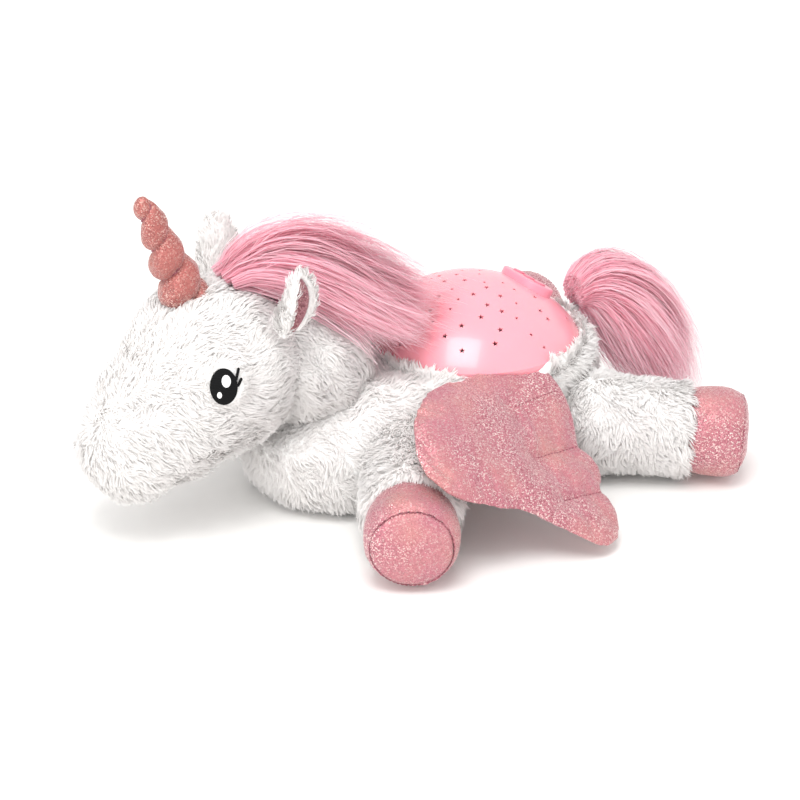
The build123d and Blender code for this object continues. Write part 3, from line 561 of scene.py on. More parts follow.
joint_place = {joint["name"]: joint.get("pos_m") for joint in frame["joints"]}
for end_name in ("front", "rear"):
    for side_name in ("left", "right"):
        prefix = f"{end_name}_{side_name}"
        body = f"{prefix}_leg"
        hip = Vector(joint_place[f"{prefix}_leg_swing"])
        sole_low, sole_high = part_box(f"{prefix}_hoof_sole")
        run = (sole_low + sole_high) / 2 - hip
        length = run.length + 0.75 * MM
        cuff = length - HOOF_LENGTH
        axis = run.normalized()
        stand = Matrix.Translation(hip) @ axis.to_track_quat("Z", "Y").to_matrix().to_4x4()

        angles = [math.radians(a) for a in range(0, 115, 12)]
        profile = [(LEG_BALL * math.sin(a), -LEG_BALL * math.cos(a)) for a in angles]
        for share in (0.35, 0.5, 0.65, 0.8, 0.92):
            profile.append((LEG_R + 0.8 * MM * math.sin(math.pi * share), share * cuff))
        profile += [
            (LEG_R, cuff - 1 * MM), (LEG_R - 1.5 * MM, cuff + 1 * MM),
            (LEG_R - 5 * MM, cuff + 0.5 * MM), (0, cuff),
        ]
        form = lathe(profile)
        form.transform(stand)
        rumple(form, 1.4 * MM, 22 * MM, seed=len(prefix))
        for vert in form.verts:
            vert.co.z = max(vert.co.z, 1.2 * MM)
        skin = new_piece(
            f"{prefix}_leg_plush", form, white_ground, body, "plush_white",
            f"{prefix}_leg_skin", f"{prefix}_leg_stuffing",
        )

        def leg_trim(root, hip=hip, axis=axis, cuff=cuff):
            """Bare where the hoof plugs the cuff; a little longer at the cuff's edge."""
            reach = (root - np.array(hip)) @ np.array(axis)
            out = np.linalg.norm(root - np.array(hip) - reach[:, None] * np.array(axis), axis=1)
            share = np.where(reach > cuff - 6 * MM, 1.15, 0.95)
            share[(reach > cuff - 2 * MM) & (out < LEG_R - 3 * MM)] = 0
            share[root[:, 2] < 2 * MM] *= 0.4
            return share

        lay_pile(
            f"{prefix}_leg_pile", skin,
            lambda root, axis=axis: np.tile([0.2 * axis.x, 0.2 * axis.y, -0.8], (len(root), 1)),
            leg_trim, body, seed=20 + len(prefix) + 7 * (side_name == "right"),
        )

        profile = [
            (LEG_R - 4 * MM, cuff - 4 * MM), (HOOF_R - 2.0 * MM, cuff + 1 * MM),
            (HOOF_R - 0.6 * MM, cuff + 7 * MM), (HOOF_R, cuff + 14 * MM),
            (HOOF_R + 0.3 * MM, cuff + 20 * MM), (HOOF_R, cuff + 25 * MM),
            (HOOF_R - 1.0 * MM, length - 6.5 * MM), (HOOF_R - 2.2 * MM, length - 4.2 * MM),
            (SOLE_R + 0.6 * MM, length - 3.0 * MM), (SOLE_R, length - 3.6 * MM),
        ]
        fine = []
        for (r0, z0), (r1, z1) in zip(profile, profile[1:]):
            fine += [(r0 + (r1 - r0) * k / 3, z0 + (z1 - z0) * k / 3) for k in range(3)]
        form = lathe(fine + [profile[-1]], 96)
        form.normal_update()
        for vert in form.verts:
            turn = math.atan2(vert.co.y, vert.co.x)
            near = math.exp(-max(length - 3 * MM - vert.co.z, 0) / (4 * MM))
            puckers = math.cos(HOOF_GATHERS * turn + 2.2 * math.sin(3 * turn))
            vert.co += vert.normal * 0.35 * MM * near * puckers
        form.transform(stand)
        rumple(form, 0.9 * MM, 13 * MM, seed=5 + len(prefix))
        sock = new_piece(
            f"{prefix}_hoof_fabric", form, glitter_rose, body, "glitter_rose", f"{prefix}_hoof_sock"
        )

        profile = [
            (SOLE_R - 0.3 * MM, length - 4.4 * MM), (SOLE_R + 0.1 * MM, length - 3.2 * MM),
            (SOLE_R - 0.8 * MM, length - 2.0 * MM), (0.85 * SOLE_R, length - 0.6 * MM),
            (0.62 * SOLE_R, length + 0.7 * MM), (0.35 * SOLE_R, length + 1.5 * MM),
            (0, length + 1.8 * MM),
        ]
        form = lathe(profile, 96)
        form.transform(stand)
        rumple(form, 0.8 * MM, 12 * MM, seed=9 + len(prefix))
        bottom = new_piece(
            f"{prefix}_hoof_bottom", form, glitter_rose, body, "glitter_rose", f"{prefix}_hoof_sole"
        )

        count = int(2 * math.pi * SOLE_R / STITCH_LENGTH)
        circle = [
            stand @ Vector((
                (SOLE_R + 0.4 * MM) * math.cos(2 * math.pi * k / count),
                (SOLE_R + 0.4 * MM) * math.sin(2 * math.pi * k / count),
                length - 2.9 * MM,
            ))
            for k in range(count + 1)
        ]
        new_piece(
            f"{prefix}_hoof_stitches", stitch_row(circle, [axis] * count), rose_thread, body,
            "thread_rose",
        )

# ---------------------------------------------------------------- neck
# A short band of plush between the head and the trunk, with soft creases across it.
neck_low, neck_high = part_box("neck_skin")
neck_middle = (neck_low + neck_high) / 2
neck_r = (neck_high.z - neck_low.z) / 2

form = bmesh.new()
bmesh.ops.create_icosphere(form, subdivisions=5, radius=neck_r - PILE_ROOM)
for vert in form.verts:
    crease = math.sin(vert.co.x / (3.6 * MM) + 1.8 * math.sin(vert.co.z / (13 * MM)))
    vert.co += vert.co.normalized() * 0.9 * MM * crease
bmesh.ops.translate(form, verts=form.verts, vec=neck_middle)
rumple(form, 2.0 * MM, 16 * MM, seed=2)
neck = new_piece(
    "neck_plush", form, white_ground, "neck", "plush_white", "neck_skin", "neck_stuffing"
)
lay_pile(
    "neck_pile", neck, lambda root: np.tile([0.6, 0.0, -0.8], (len(root), 1)),
    lambda root: np.full(len(root), 0.9), "neck", seed=41,
)

# ---------------------------------------------------------------- head
# Sewn from curved plush panels and stuffed hard: a round skull running into a full muzzle. The
# pile is brushed back from the nose, and clipped short round the embroidered eyes.
SKULL_R, MUZZLE_R = 52 * MM, 34 * MM
SKULL_BACK = 83.2 * MM      # skull's middle behind the tip of the muzzle
CHEEK_R = 33 * MM

head_low, head_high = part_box("head_skin")
skull = Vector((head_low.x + SKULL_BACK, 0, head_high.z - SKULL_R))
muzzle = Vector((head_low.x + MUZZLE_R, 0, head_low.z + MUZZLE_R))
eye_boxes = [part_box(f"eye_{side_name}") for side_name in ("left", "right")]
eye_spots = [(low + high) / 2 for low, high in eye_boxes]
EYE_CLEAR, EYE_REACH = 10.5 * MM, 26 * MM    # bare round an eye, and how far its trim goes
horn_low, horn_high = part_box("horn_cover")
horn_root = Vector(joint_place["horn_bend"])


def head_panel(form, centre, radius):
    """Adds a ball of filling under the head's skin."""
    spot = Matrix.Translation(centre)
    bmesh.ops.create_icosphere(form, subdivisions=4, radius=radius - PILE_ROOM, matrix=spot)


form = bmesh.new()
head_panel(form, skull, SKULL_R)
head_panel(form, muzzle, MUZZLE_R)
bmesh.ops.convex_hull(form, input=form.verts)
inside = [vert for vert in form.verts if not vert.link_faces]
bmesh.ops.delete(form, geom=inside, context="VERTS")
for side in (-1, 1):
    head_panel(form, skull.lerp(muzzle, 0.32) + Vector((0, side * 16, -3)) * MM, CHEEK_R)
head = new_piece(
    "head_plush", form, white_ground, None, "plush_white", "head_skin", "head_stuffing"
)
even_skin(head, 2.4 * MM, 5)
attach(head, "head")
form = bmesh.new()
form.from_mesh(head.data)
rumple(form, 2.2 * MM, 20 * MM, seed=6)
for spot in eye_spots:
    out = (spot - skull).normalized()
    for vert in form.verts:
        far = (vert.co - spot - out * (vert.co - spot).dot(out)).length
        if (vert.co - spot).length < 18 * MM:
            # the patch is sewn flat, level with the pile round it
            lift = (spot - vert.co).dot(out) - 0.9 * MM
            vert.co += out * lift * max(0.0, min(1.0, (14 * MM - far) / (5 * MM)))
form.to_mesh(head.data)
form.free()
head.data.shade_smooth()


def head_trim(root):
    """Bare under the eyes and the horn, short round them, short on the nose."""
    share = np.ones(len(root))
    for spot in eye_spots:
        out = np.array((spot - skull).normalized())
        off = root - np.array(spot)
        near = np.linalg.norm(off, axis=1)
        flat = off - out * (off @ out)[:, None]
        across = np.hypot(np.hypot(flat[:, 0], flat[:, 1]) / 0.82, flat[:, 2])
        ramp = np.clip((across - EYE_CLEAR) / (9 * MM), 0, 1)
        trimmed = np.where(across < EYE_CLEAR, 0, 0.3 + 0.7 * ramp)
        share = np.where(near < EYE_REACH, np.minimum(share, trimmed), share)
    to_horn = np.linalg.norm(root - np.array(horn_root), axis=1)
    share[to_horn < 11 * MM] = 0
    share *= np.clip(0.55 + np.linalg.norm(root - np.array(muzzle), axis=1) / (90 * MM), 0.6, 1)
    return share


def from_nose(root):
    """Back from the tip of the muzzle, and down."""
    nose = np.array(muzzle) - [0.6 * MUZZLE_R, 0, 0]
    return root - nose - [0, 0, 20 * MM]


lay_pile("head_pile", head, from_nose, head_trim, "head", seed=51)

# ---------------------------------------------------------------- eyes
# Machine embroidery: close rows of glossy black satin stitch, with two ovals of white over them.
SATIN_PITCH = 0.9 * MM


def satin_stitch(name, low_code, high_code):
    made, tree, shader = new_material(name, Roughness=0.5, Specular_IOR_Level=0.15)
    place = add_node(tree, "TexCoord").outputs["Object"]
    rows = add_node(
        tree, "TexWave", {"Vector": place, "Scale": 0.32 / SATIN_PITCH, "Distortion": 0.6},
        bands_direction="Z",
    )
    # each row is darker in its groove and lighter on its crest: painted shade between the rows
    tone = add_node(tree, "ValToRGB", {"Fac": rows.outputs["Fac"]})
    tone.color_ramp.elements[0].color = colour(low_code)
    tone.color_ramp.elements[1].color = colour(high_code)
    tree.links.new(tone.outputs["Color"], shader.inputs["Base Color"])
    raised = add_node(tree, "Bump", {"Height": rows.outputs["Fac"], "Strength": 0.5,
                                     "Distance": 0.25 * MM})
    tree.links.new(raised.outputs["Normal"], shader.inputs["Normal"])
    return made


def dress(look, slot, *nodes):
    """Gives CAD nodes their material; slot is not used."""
    for node in nodes:
        piece = frame["nodes"][node]
        piece.data.materials.clear()
        piece.data.materials.append(look)


dress(satin_stitch("satin_stitch_black", "030304", "0B0B0D"), "thread_black", "eye_left", "eye_right")
dress(
    satin_stitch("satin_stitch_white", "D9D9D9", "FFFFFF"), "thread_white",
    "eye_glints_left", "eye_glints_right",
)

# ---------------------------------------------------------------- horn
# A cone of glitter fabric, stuffed, then bound in a spiral with thread pulled tight, so that it
# swells between the turns and gathers at the thread.
HORN_TURNS = 3.55
HORN_BASE_R, HORN_END_R = 14.6 * MM, 5.6 * MM
HORN_RINGS, HORN_SIDES = 150, 72
HORN_GATHERS = 15

horn_tip = Vector((horn_low.x + 4.0 * MM, 0, horn_high.z - 0.5 * MM))
horn_run = horn_tip - horn_root
horn_stand = (
    Matrix.Translation(horn_root) @ horn_run.normalized().to_track_quat("Z", "Y").to_matrix().to_4x4()
)


def horn_radius(share, turn):
    """Radius at a share of the horn's length: tapering, and pinched along the spiral."""
    along_turns = share * HORN_TURNS - turn / (2 * math.pi)
    swell = abs(math.sin(math.pi * along_turns)) ** 0.55
    taper = HORN_BASE_R + (HORN_END_R - HORN_BASE_R) * share**1.15
    pinch = 0.42 * (1 - swell)
    gather = 0.035 * math.cos(HORN_GATHERS * turn + 2 * math.sin(2 * turn)) * (1 - swell) ** 0.5
    closing = math.sqrt(max(1 - ((share - 0.86) / 0.14) ** 2, 0)) if share > 0.86 else 1.0
    return taper * (1 - pinch + gather) * closing


rings = [(1 * MM, k * MM) for k in range(HORN_RINGS)]
form = lathe([(0, -8 * MM)] + rings + [(0, 160 * MM)], HORN_SIDES)
for vert in form.verts:
    ring = round(vert.co.z / MM)
    if ring < 0 or ring >= HORN_RINGS:
        vert.co = Vector((0, 0, -0.1 if ring < 0 else 1.0)) * horn_run.length
        continue
    share = -0.1 + 1.1 * ring / (HORN_RINGS - 1)
    turn = math.atan2(vert.co.y, vert.co.x)
    radius = horn_radius(max(share, 0.0), turn + 0.9)
    vert.co = Vector((radius * math.cos(turn), radius * math.sin(turn), share * horn_run.length))
form.transform(horn_stand)
rumple(form, 1.0 * MM, 7 * MM, seed=3)
bmesh.ops.recalc_face_normals(form, faces=form.faces)
horn_rose = glitter_fabric("glitter_knit_horn", "AC625C", "FFDCCF", "6E3434", "B57264")
horn = new_piece(
    "horn_fabric", form, horn_rose, "horn", "glitter_rose", "horn_cover", "horn_stuffing"
)

spiral = []
for step in range(150):
    share = 0.04 + 0.88 * step / 149
    turn = 2 * math.pi * share * HORN_TURNS - 0.9
    radius = horn_radius(share, turn + 0.9) + 0.25 * MM
    spot = (radius * math.cos(turn), radius * math.sin(turn), share * horn_run.length)
    spiral.append(horn_stand @ Vector(spot))
line = bpy.data.curves.new("horn_binding", "CURVE")
line.dimensions, line.bevel_depth, line.bevel_resolution = "3D", 0.45 * MM, 2
spline = line.splines.new("POLY")
spline.points.add(len(spiral) - 1)
for point, spot in zip(spline.points, spiral):
    point.co = (*spot, 1.0)
line.use_fill_caps = True
curve = bpy.data.objects.new("horn_binding_line", line)
bpy.context.collection.objects.link(curve)
bpy.context.view_layer.update()
form = bmesh.new()
tube = curve.evaluated_get(bpy.context.evaluated_depsgraph_get())
form.from_mesh(bpy.data.meshes.new_from_object(tube))
bpy.data.objects.remove(curve)
new_piece("horn_binding", form, rose_thread, "horn", "thread_rose", "horn_thread")

# ---------------------------------------------------------------- ears
# A leaf of plush and a smaller one of glitter fabric, sewn face to face, turned out and folded
# lengthwise before they are sewn into the crown.
EAR_ROWS, EAR_COLUMNS = 26, 18
EAR_FOLD = math.radians(74)
EAR_THICK = 2.4 * MM
EAR_HEIGHT, EAR_WIDE = 41 * MM, 28 * MM
LINING_HEIGHT, LINING_WIDE = 36 * MM, 18 * MM
LINING_CLEAR = 2.1 * MM      # no pile nearer the lining than this

glitter_lining = glitter_fabric("glitter_knit_lining", "A9707A", "E0B4B0", "6E3D48", "9C6468")


def ear_leaf(stand, height, wide, fold, forward, thick):
    """A cupped leaf: its halves turned towards each other about its middle line."""
    form = bmesh.new()
    bmesh.ops.create_grid(form, x_segments=EAR_COLUMNS, y_segments=EAR_ROWS, size=0.5)
    for vert in form.verts:
        across, up = 2 * vert.co.x, vert.co.y + 0.5
        half = wide / 2 * (0.75 + 1.5 * up) * max(1 - up**1.5, 0.0) ** 0.85
        lean = fold * abs(across) ** 1.2 * (1 - 0.45 * up)
        vert.co = Vector((
            half * across * math.cos(lean * 0.6),
            height * up,
            forward + half * abs(across) * math.sin(lean) + 4 * MM * up**2,
        ))
    bmesh.ops.remove_doubles(form, verts=form.verts, dist=0.05 * MM)
    bmesh.ops.recalc_face_normals(form, faces=form.faces)
    bmesh.ops.solidify(form, geom=form.faces, thickness=thick)
    form.transform(stand)
    bmesh.ops.recalc_face_normals(form, faces=form.faces)
    return form


for side_name, side in (("left", -1), ("right", 1)):
    root = Vector(joint_place[f"ear_{side_name}_fold"])
    ear_up = Vector((0.14, side * 0.26, 0.94)).normalized()
    facing = Vector((0.45, side * 0.88, -0.10))
    across = ear_up.cross(facing).normalized()
    facing = across.cross(ear_up)
    stand = Matrix((across, ear_up, facing)).transposed().to_4x4()
    stand.translation = root - ear_up * 4 * MM
    form = ear_leaf(stand, EAR_HEIGHT, EAR_WIDE, EAR_FOLD, 0.0, EAR_THICK)
    back = new_piece(
        f"ear_{side_name}_plush", form, white_ground, f"ear_{side_name}", "plush_white",
        f"ear_{side_name}_outer",
    )
    even_skin(back, 1.2 * MM, 2)
    form = ear_leaf(stand, LINING_HEIGHT, LINING_WIDE, EAR_FOLD, 2.2 * MM, 0.9 * MM)
    lined = KDTree(len(form.verts))
    for index, vert in enumerate(form.verts):
        lined.insert(vert.co, index)
    lined.balance()
    new_piece(
        f"ear_{side_name}_glitter", form, glitter_lining, f"ear_{side_name}", "glitter_lining",
        f"ear_{side_name}_lining",
    )

    def ear_trim(root, lined=lined):
        """Pile on the back and the edge only: the hollow is lined."""
        far = np.array([lined.find(spot)[2] for spot in root])
        return np.where(far < LINING_CLEAR, 0, 0.95)

    lay_pile(
        f"ear_{side_name}_pile", back,
        lambda root, up=ear_up: np.tile(np.array(up), (len(root), 1)),
        ear_trim, f"ear_{side_name}", seed=61 + side, spacing=1.0 * MM,
    )

# ---------------------------------------------------------------- mane
# Long silky pile on a narrow strip sewn along the crest, brushed back and over to the near side.
# Its locks rise from the crown, cross the neck and come to lie on the front of the dome.
LOCK_POINTS = 9
STRAND_WIDTH = 0.55 * MM     # a strand stands for several fibres, so that it shows
MANE_LOCKS, MANE_STRANDS = 200, 56
NEAR_SHARE = 0.72            # locks that fall to the near side

pile_pink, tree, shader = new_material(
    "silky_pile_pink", Roughness=0.5, Specular_IOR_Level=0.3, Sheen_Weight=0.7, Sheen_Roughness=0.5
)
tone = add_node(tree, "Attribute", attribute_name="tone").outputs["Fac"]
shades = add_node(tree, "ValToRGB", {"Fac": tone})
shades.color_ramp.elements[0].color = colour("FFAEC3")
shades.color_ramp.elements[1].color = colour("FFEEF2")
shades.color_ramp.elements.new(0.5).color = colour("FFCFDB")
tree.links.new(shades.outputs["Color"], shader.inputs["Base Color"])
pass_light(tree, shader, shades.outputs["Color"], 0.42)


def comb_locks(name, guides, strands, spread, keep_out, centre, body, seed):
    """Long pile: flat tapered strands that follow the guide curve of their lock.

    guides are four control points for each lock, spread is a lock's radius at its root, middle
    and end, and keep_out lists balls that no strand enters. With no body, the piece is left unattached.
    """
    rng = np.random.default_rng(seed)
    guides = np.repeat(np.array(guides, float), strands, axis=0)
    count = len(guides)
    reach = np.clip(rng.normal(0.9, 0.12, (count, 1)), 0.5, 1.12)
    t = np.linspace(0, 1, LOCK_POINTS)[None, :] * reach
    weights = np.stack([(1 - t) ** 3, 3 * t * (1 - t) ** 2, 3 * t**2 * (1 - t), t**3], -1)
    line = np.einsum("nkw,nwd->nkd", weights, guides)
    radius = np.interp(t, [0, 0.5, 1.15], spread)
    angle = rng.uniform(0, 2 * math.pi, (count, 1)) + 0.8 * t * rng.normal(size=(count, 1))
    off = np.sqrt(rng.random((count, 1))) * radius
    run = np.gradient(line, axis=1)
    run /= np.linalg.norm(run, axis=2, keepdims=True)
    out = line - np.array(centre)
    out -= run * (out * run).sum(2, keepdims=True)
    out /= np.linalg.norm(out, axis=2, keepdims=True)
    side = np.cross(run, out)
    line = line + (off * np.cos(angle))[..., None] * side + (off * np.sin(angle))[..., None] * out
    phase = np.repeat(rng.uniform(0, 2 * math.pi, (count // strands, 1)), strands, axis=0)
    wave = 1.8 * MM * t * np.sin(9 * t + phase + 0.5 * rng.normal(size=(count, 1)))
    line += wave[..., None] * side
    fly = rng.normal(0, 1, (count, 1, 3)) * (4.5 * MM * (rng.random((count, 1, 1)) < 0.2))
    line += fly * (t**2)[..., None]
    for middle, clear in keep_out:
        away = line - np.array(middle)
        far = np.linalg.norm(away, axis=2, keepdims=True)
        line = np.where(far < clear, np.array(middle) + away * clear / far, line)
    line[..., 2] = np.maximum(line[..., 2], 0.5 * MM)
    twist = rng.normal(0, 0.3, (count, 1, 1))
    flat = side * np.cos(twist) + out * np.sin(twist)
    taper = np.interp(np.linspace(0, 1, LOCK_POINTS), [0, 0.15, 0.7, 1], [0.8, 1, 0.8, 0.08])
    half = flat * (0.5 * STRAND_WIDTH * taper)[None, :, None]
    verts = np.stack([line - half, line + half], 2)
    first = 2 * LOCK_POINTS * np.arange(count)[:, None, None]
    step = 2 * np.arange(LOCK_POINTS - 1)[None, :, None]
    faces = (first + step + np.array([0, 1, 3, 2])).reshape(-1, 4)
    pile = bpy.data.meshes.new(name)
    pile.from_pydata(verts.reshape(-1, 3).tolist(), [], faces.tolist())
    pile.shade_smooth()
    outward = np.repeat(out + 0.2 * rng.normal(size=(count, 1, 3)), 2, axis=1).reshape(-1, 3)
    pile.normals_split_custom_set_from_vertices(
        (outward / np.linalg.norm(outward, axis=1, keepdims=True)).tolist()
    )
    # tone differs at random from lock to lock and strand to strand, and rises towards the tips: painted
    # shade at the roots
    lock_tone = np.repeat(rng.random(count // strands), strands)[:, None]
    shade = 0.3 + 0.3 * lock_tone + 0.25 * t + 0.15 * rng.normal(size=(count, 1))
    shade = np.repeat(np.clip(shade, 0, 1).reshape(-1), 2)
    pile.attributes.new("tone", "FLOAT", "POINT").data.foreach_set("value", shade)
    piece = bpy.data.objects.new(name, pile)
    bpy.context.collection.objects.link(piece)
    pile.materials.append(pile_pink)
    if body:
        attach(piece, body)
    return piece


rng = np.random.default_rng(70)
dome_ball_r = (rim_r**2 + (dome_high.z - rim_z) ** 2) / (2 * (dome_high.z - rim_z))
dome_ball = Vector((dome_middle.x, 0, dome_high.z - dome_ball_r))
# control points in mm from the neck's middle, for four locks: the first and last on the crest,
# each lying straight back and falling to the side
POLL_TOP = [(-53, 0, 61), (-38, -1, 103), (24, -4, 100), (79, -8, 26)]
POLL_SIDE = [(-47, -10, 58), (-26, -20, 84), (0, -44, 42), (40, -42, 14)]
WITHERS_TOP = [(27, 0, 34), (35, -1, 56), (58, -4, 54), (88, -10, 26)]
WITHERS_SIDE = [(25, -9, 32), (29, -24, 44), (40, -40, 20), (66, -32, 16)]
locks = []
for index in range(MANE_LOCKS):
    back, fall = rng.random(), rng.random()
    low = 0.9 * rng.random() ** 1.6
    near = 1 if rng.random() < NEAR_SHARE else -1
    lock = []
    for poll, poll_side, end, end_side in zip(POLL_TOP, POLL_SIDE, WITHERS_TOP, WITHERS_SIDE):
        first = Vector(poll).lerp(Vector(poll_side), fall)
        lock.append(first.lerp(Vector(end).lerp(Vector(end_side), fall), back))
    for k in (1, 2):
        lock[k] = lock[k].lerp(lock[0].lerp(lock[3], k / 3), low)
    lock[0] += Vector((0, rng.uniform(-4, 8), 0))
    lock[3] += Vector((rng.uniform(-22, 6), rng.uniform(-6, 6), rng.uniform(-4, 8)))
    locks.append([neck_middle + Vector((spot.x, near * spot.y, spot.z)) * MM for spot in lock])
mane = comb_locks(
    "mane_pile", locks, MANE_STRANDS, [4.0 * MM, 8.0 * MM, 4.0 * MM],
    [(neck_middle, neck_r + 1 * MM), (skull, SKULL_R - 1 * MM), (dome_ball, dome_ball_r + 1 * MM)],
    neck_middle + Vector((8 * MM, 0, -10 * MM)), None, seed=71,
)
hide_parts("mane_hair")
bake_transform(mane)
knit_pink = knitted(
    "knitted_backing_pink", "D9809C", "EFA3BC", 1.4 * MM, 1.0, 0.5 * MM,
    Roughness=0.9, Sheen_Weight=0.2,
)
dress(knit_pink, "backing_pink", "mane_backing", "tail_core")

# ---------------------------------------------------------------- tail
# The same long pile rolled round a sewn stub. It springs up behind the dome, arches back and
# spreads as it falls beside the near rear leg.
TAIL_LOCKS, TAIL_STRANDS = 190, 60

stub_low, stub_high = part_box("tail_core")
stub = Vector((stub_low.x + 2 * MM, 0, stub_high.z - 9 * MM))
# from the stub, the way to the tail's middle line, which way is outside, and its radius, in mm
BRUSH = [
    ((0, 0, 0), (0.0, 1.0), 9), ((13, 0, 14), (0.3, 0.9), 21),
    ((31, -14, -6), (0.9, 0.5), 34), ((42, -38, -54), (1.0, 0.0), 19),
]
locks = []
for index in range(TAIL_LOCKS):
    turn, far = rng.uniform(0, 2 * math.pi), rng.random() ** 0.5
    lock = []
    for middle, (out_x, out_z), wide in BRUSH:
        ring = Vector((out_x * math.cos(turn), math.sin(turn), out_z * math.cos(turn)))
        lock.append(stub + (Vector(middle) + ring * far * wide) * MM)
    lock[3] += Vector((rng.uniform(-6, 7), rng.uniform(-5, 5), rng.uniform(-6, 14))) * MM
    locks.append(lock)
tail = comb_locks(
    "tail_pile", locks, TAIL_STRANDS, [5 * MM, 8 * MM, 6 * MM],
    [(dome_ball, dome_ball_r + 1.5 * MM)], stub + Vector((6, 4, -30)) * MM, "tail", seed=72,
)
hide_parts("tail_hair")

# ---------------------------------------------------------------- wings
# Two layers of glitter fabric over thin wadding, turned out and quilted: three feather lines run
# in from the notches of the rear edge. The root is pleated and sewn in at the dome's rim.
WING_VOXEL = 2.0 * MM
WING_INSET = 0.985           # share of the outline left inside the seam
WING_THIN = 0.4              # share of the wing's thickness before it is filled
SEAM_WIDTH = 1.3 * MM        # half the width of the valley that a feather line pulls in
PUFF = 2.6 * MM              # wadding over each channel before the fabric takes up its folds
PUFF_FADE = 4.5 * MM
FILL_PRESSURE, FILL_REACH, FILL_SLACK = 4.0, 4.2 * MM, 0.03
ROOT_GAP = 9.5 * MM          # what the frame leaves round the rim
ROOT_DRAWN = 22 * MM         # how far out the root is drawn in towards the rim
WING_STITCH = 2.8 * MM
# root in mm, and the ways along the wing and out of its upper face, for the right side
WING_ROOT, WING_DOWN, WING_UP = (31.0, 62.0, 80.0), (0.293, 0.748, -0.596), (0.30, 0.52, 0.80)
# notch at the rear edge and inner end of each feather line, along and across the wing, in mm
FEATHERS = [((32, 33), (27, -4)), ((65, 25), (59, -14)), ((95, 14), (88, -20))]


def outer_shell(node):
    """A CAD node's outside as one merged form, without its inner walls."""
    form = bmesh.new()
    form.from_mesh(frame["nodes"][node].data)
    bmesh.ops.remove_doubles(form, verts=form.verts, dist=0.01 * MM)
    form.verts.ensure_lookup_table()
    far = max(form.verts, key=lambda vert: vert.co.z)
    kept, edge = {far}, [far]
    while edge:
        vert = edge.pop()
        for other in (link.other_vert(vert) for link in vert.link_edges):
            if other not in kept:
                kept.add(other)
                edge.append(other)
    bmesh.ops.delete(form, geom=[v for v in form.verts if v not in kept], context="VERTS")
    return form


def fill_with_wadding(piece, held):
    """Cloth under pressure, held at its seams, with no point moving further than FILL_REACH."""
    seam = piece.vertex_groups.new(name="seam")
    seam.add(held, 1.0, "REPLACE")
    cloth = piece.modifiers.new("fill", "CLOTH")
    cloth.settings.vertex_group_mass = "seam"
    cloth.settings.use_pressure = True
    cloth.settings.uniform_pressure_force = FILL_PRESSURE
    cloth.settings.effector_weights.gravity = 0
    cloth.settings.shrink_min = -FILL_SLACK
    cloth.settings.mass = 0.15
    cloth.settings.bending_stiffness = 0.1
    cloth.collision_settings.use_collision = False
    for step in range(1, 19):
        bpy.context.scene.frame_set(step)
    evaluated = piece.evaluated_get(bpy.context.evaluated_depsgraph_get())
    filled = [vert.co.copy() for vert in evaluated.data.vertices]
    piece.modifiers.remove(cloth)
    piece.vertex_groups.remove(seam)
    bpy.context.scene.frame_set(1)
    for vert, target in zip(piece.data.vertices, filled):
        move = target - vert.co
        if move.length > FILL_REACH:
            move *= FILL_REACH / move.length
        vert.co += move


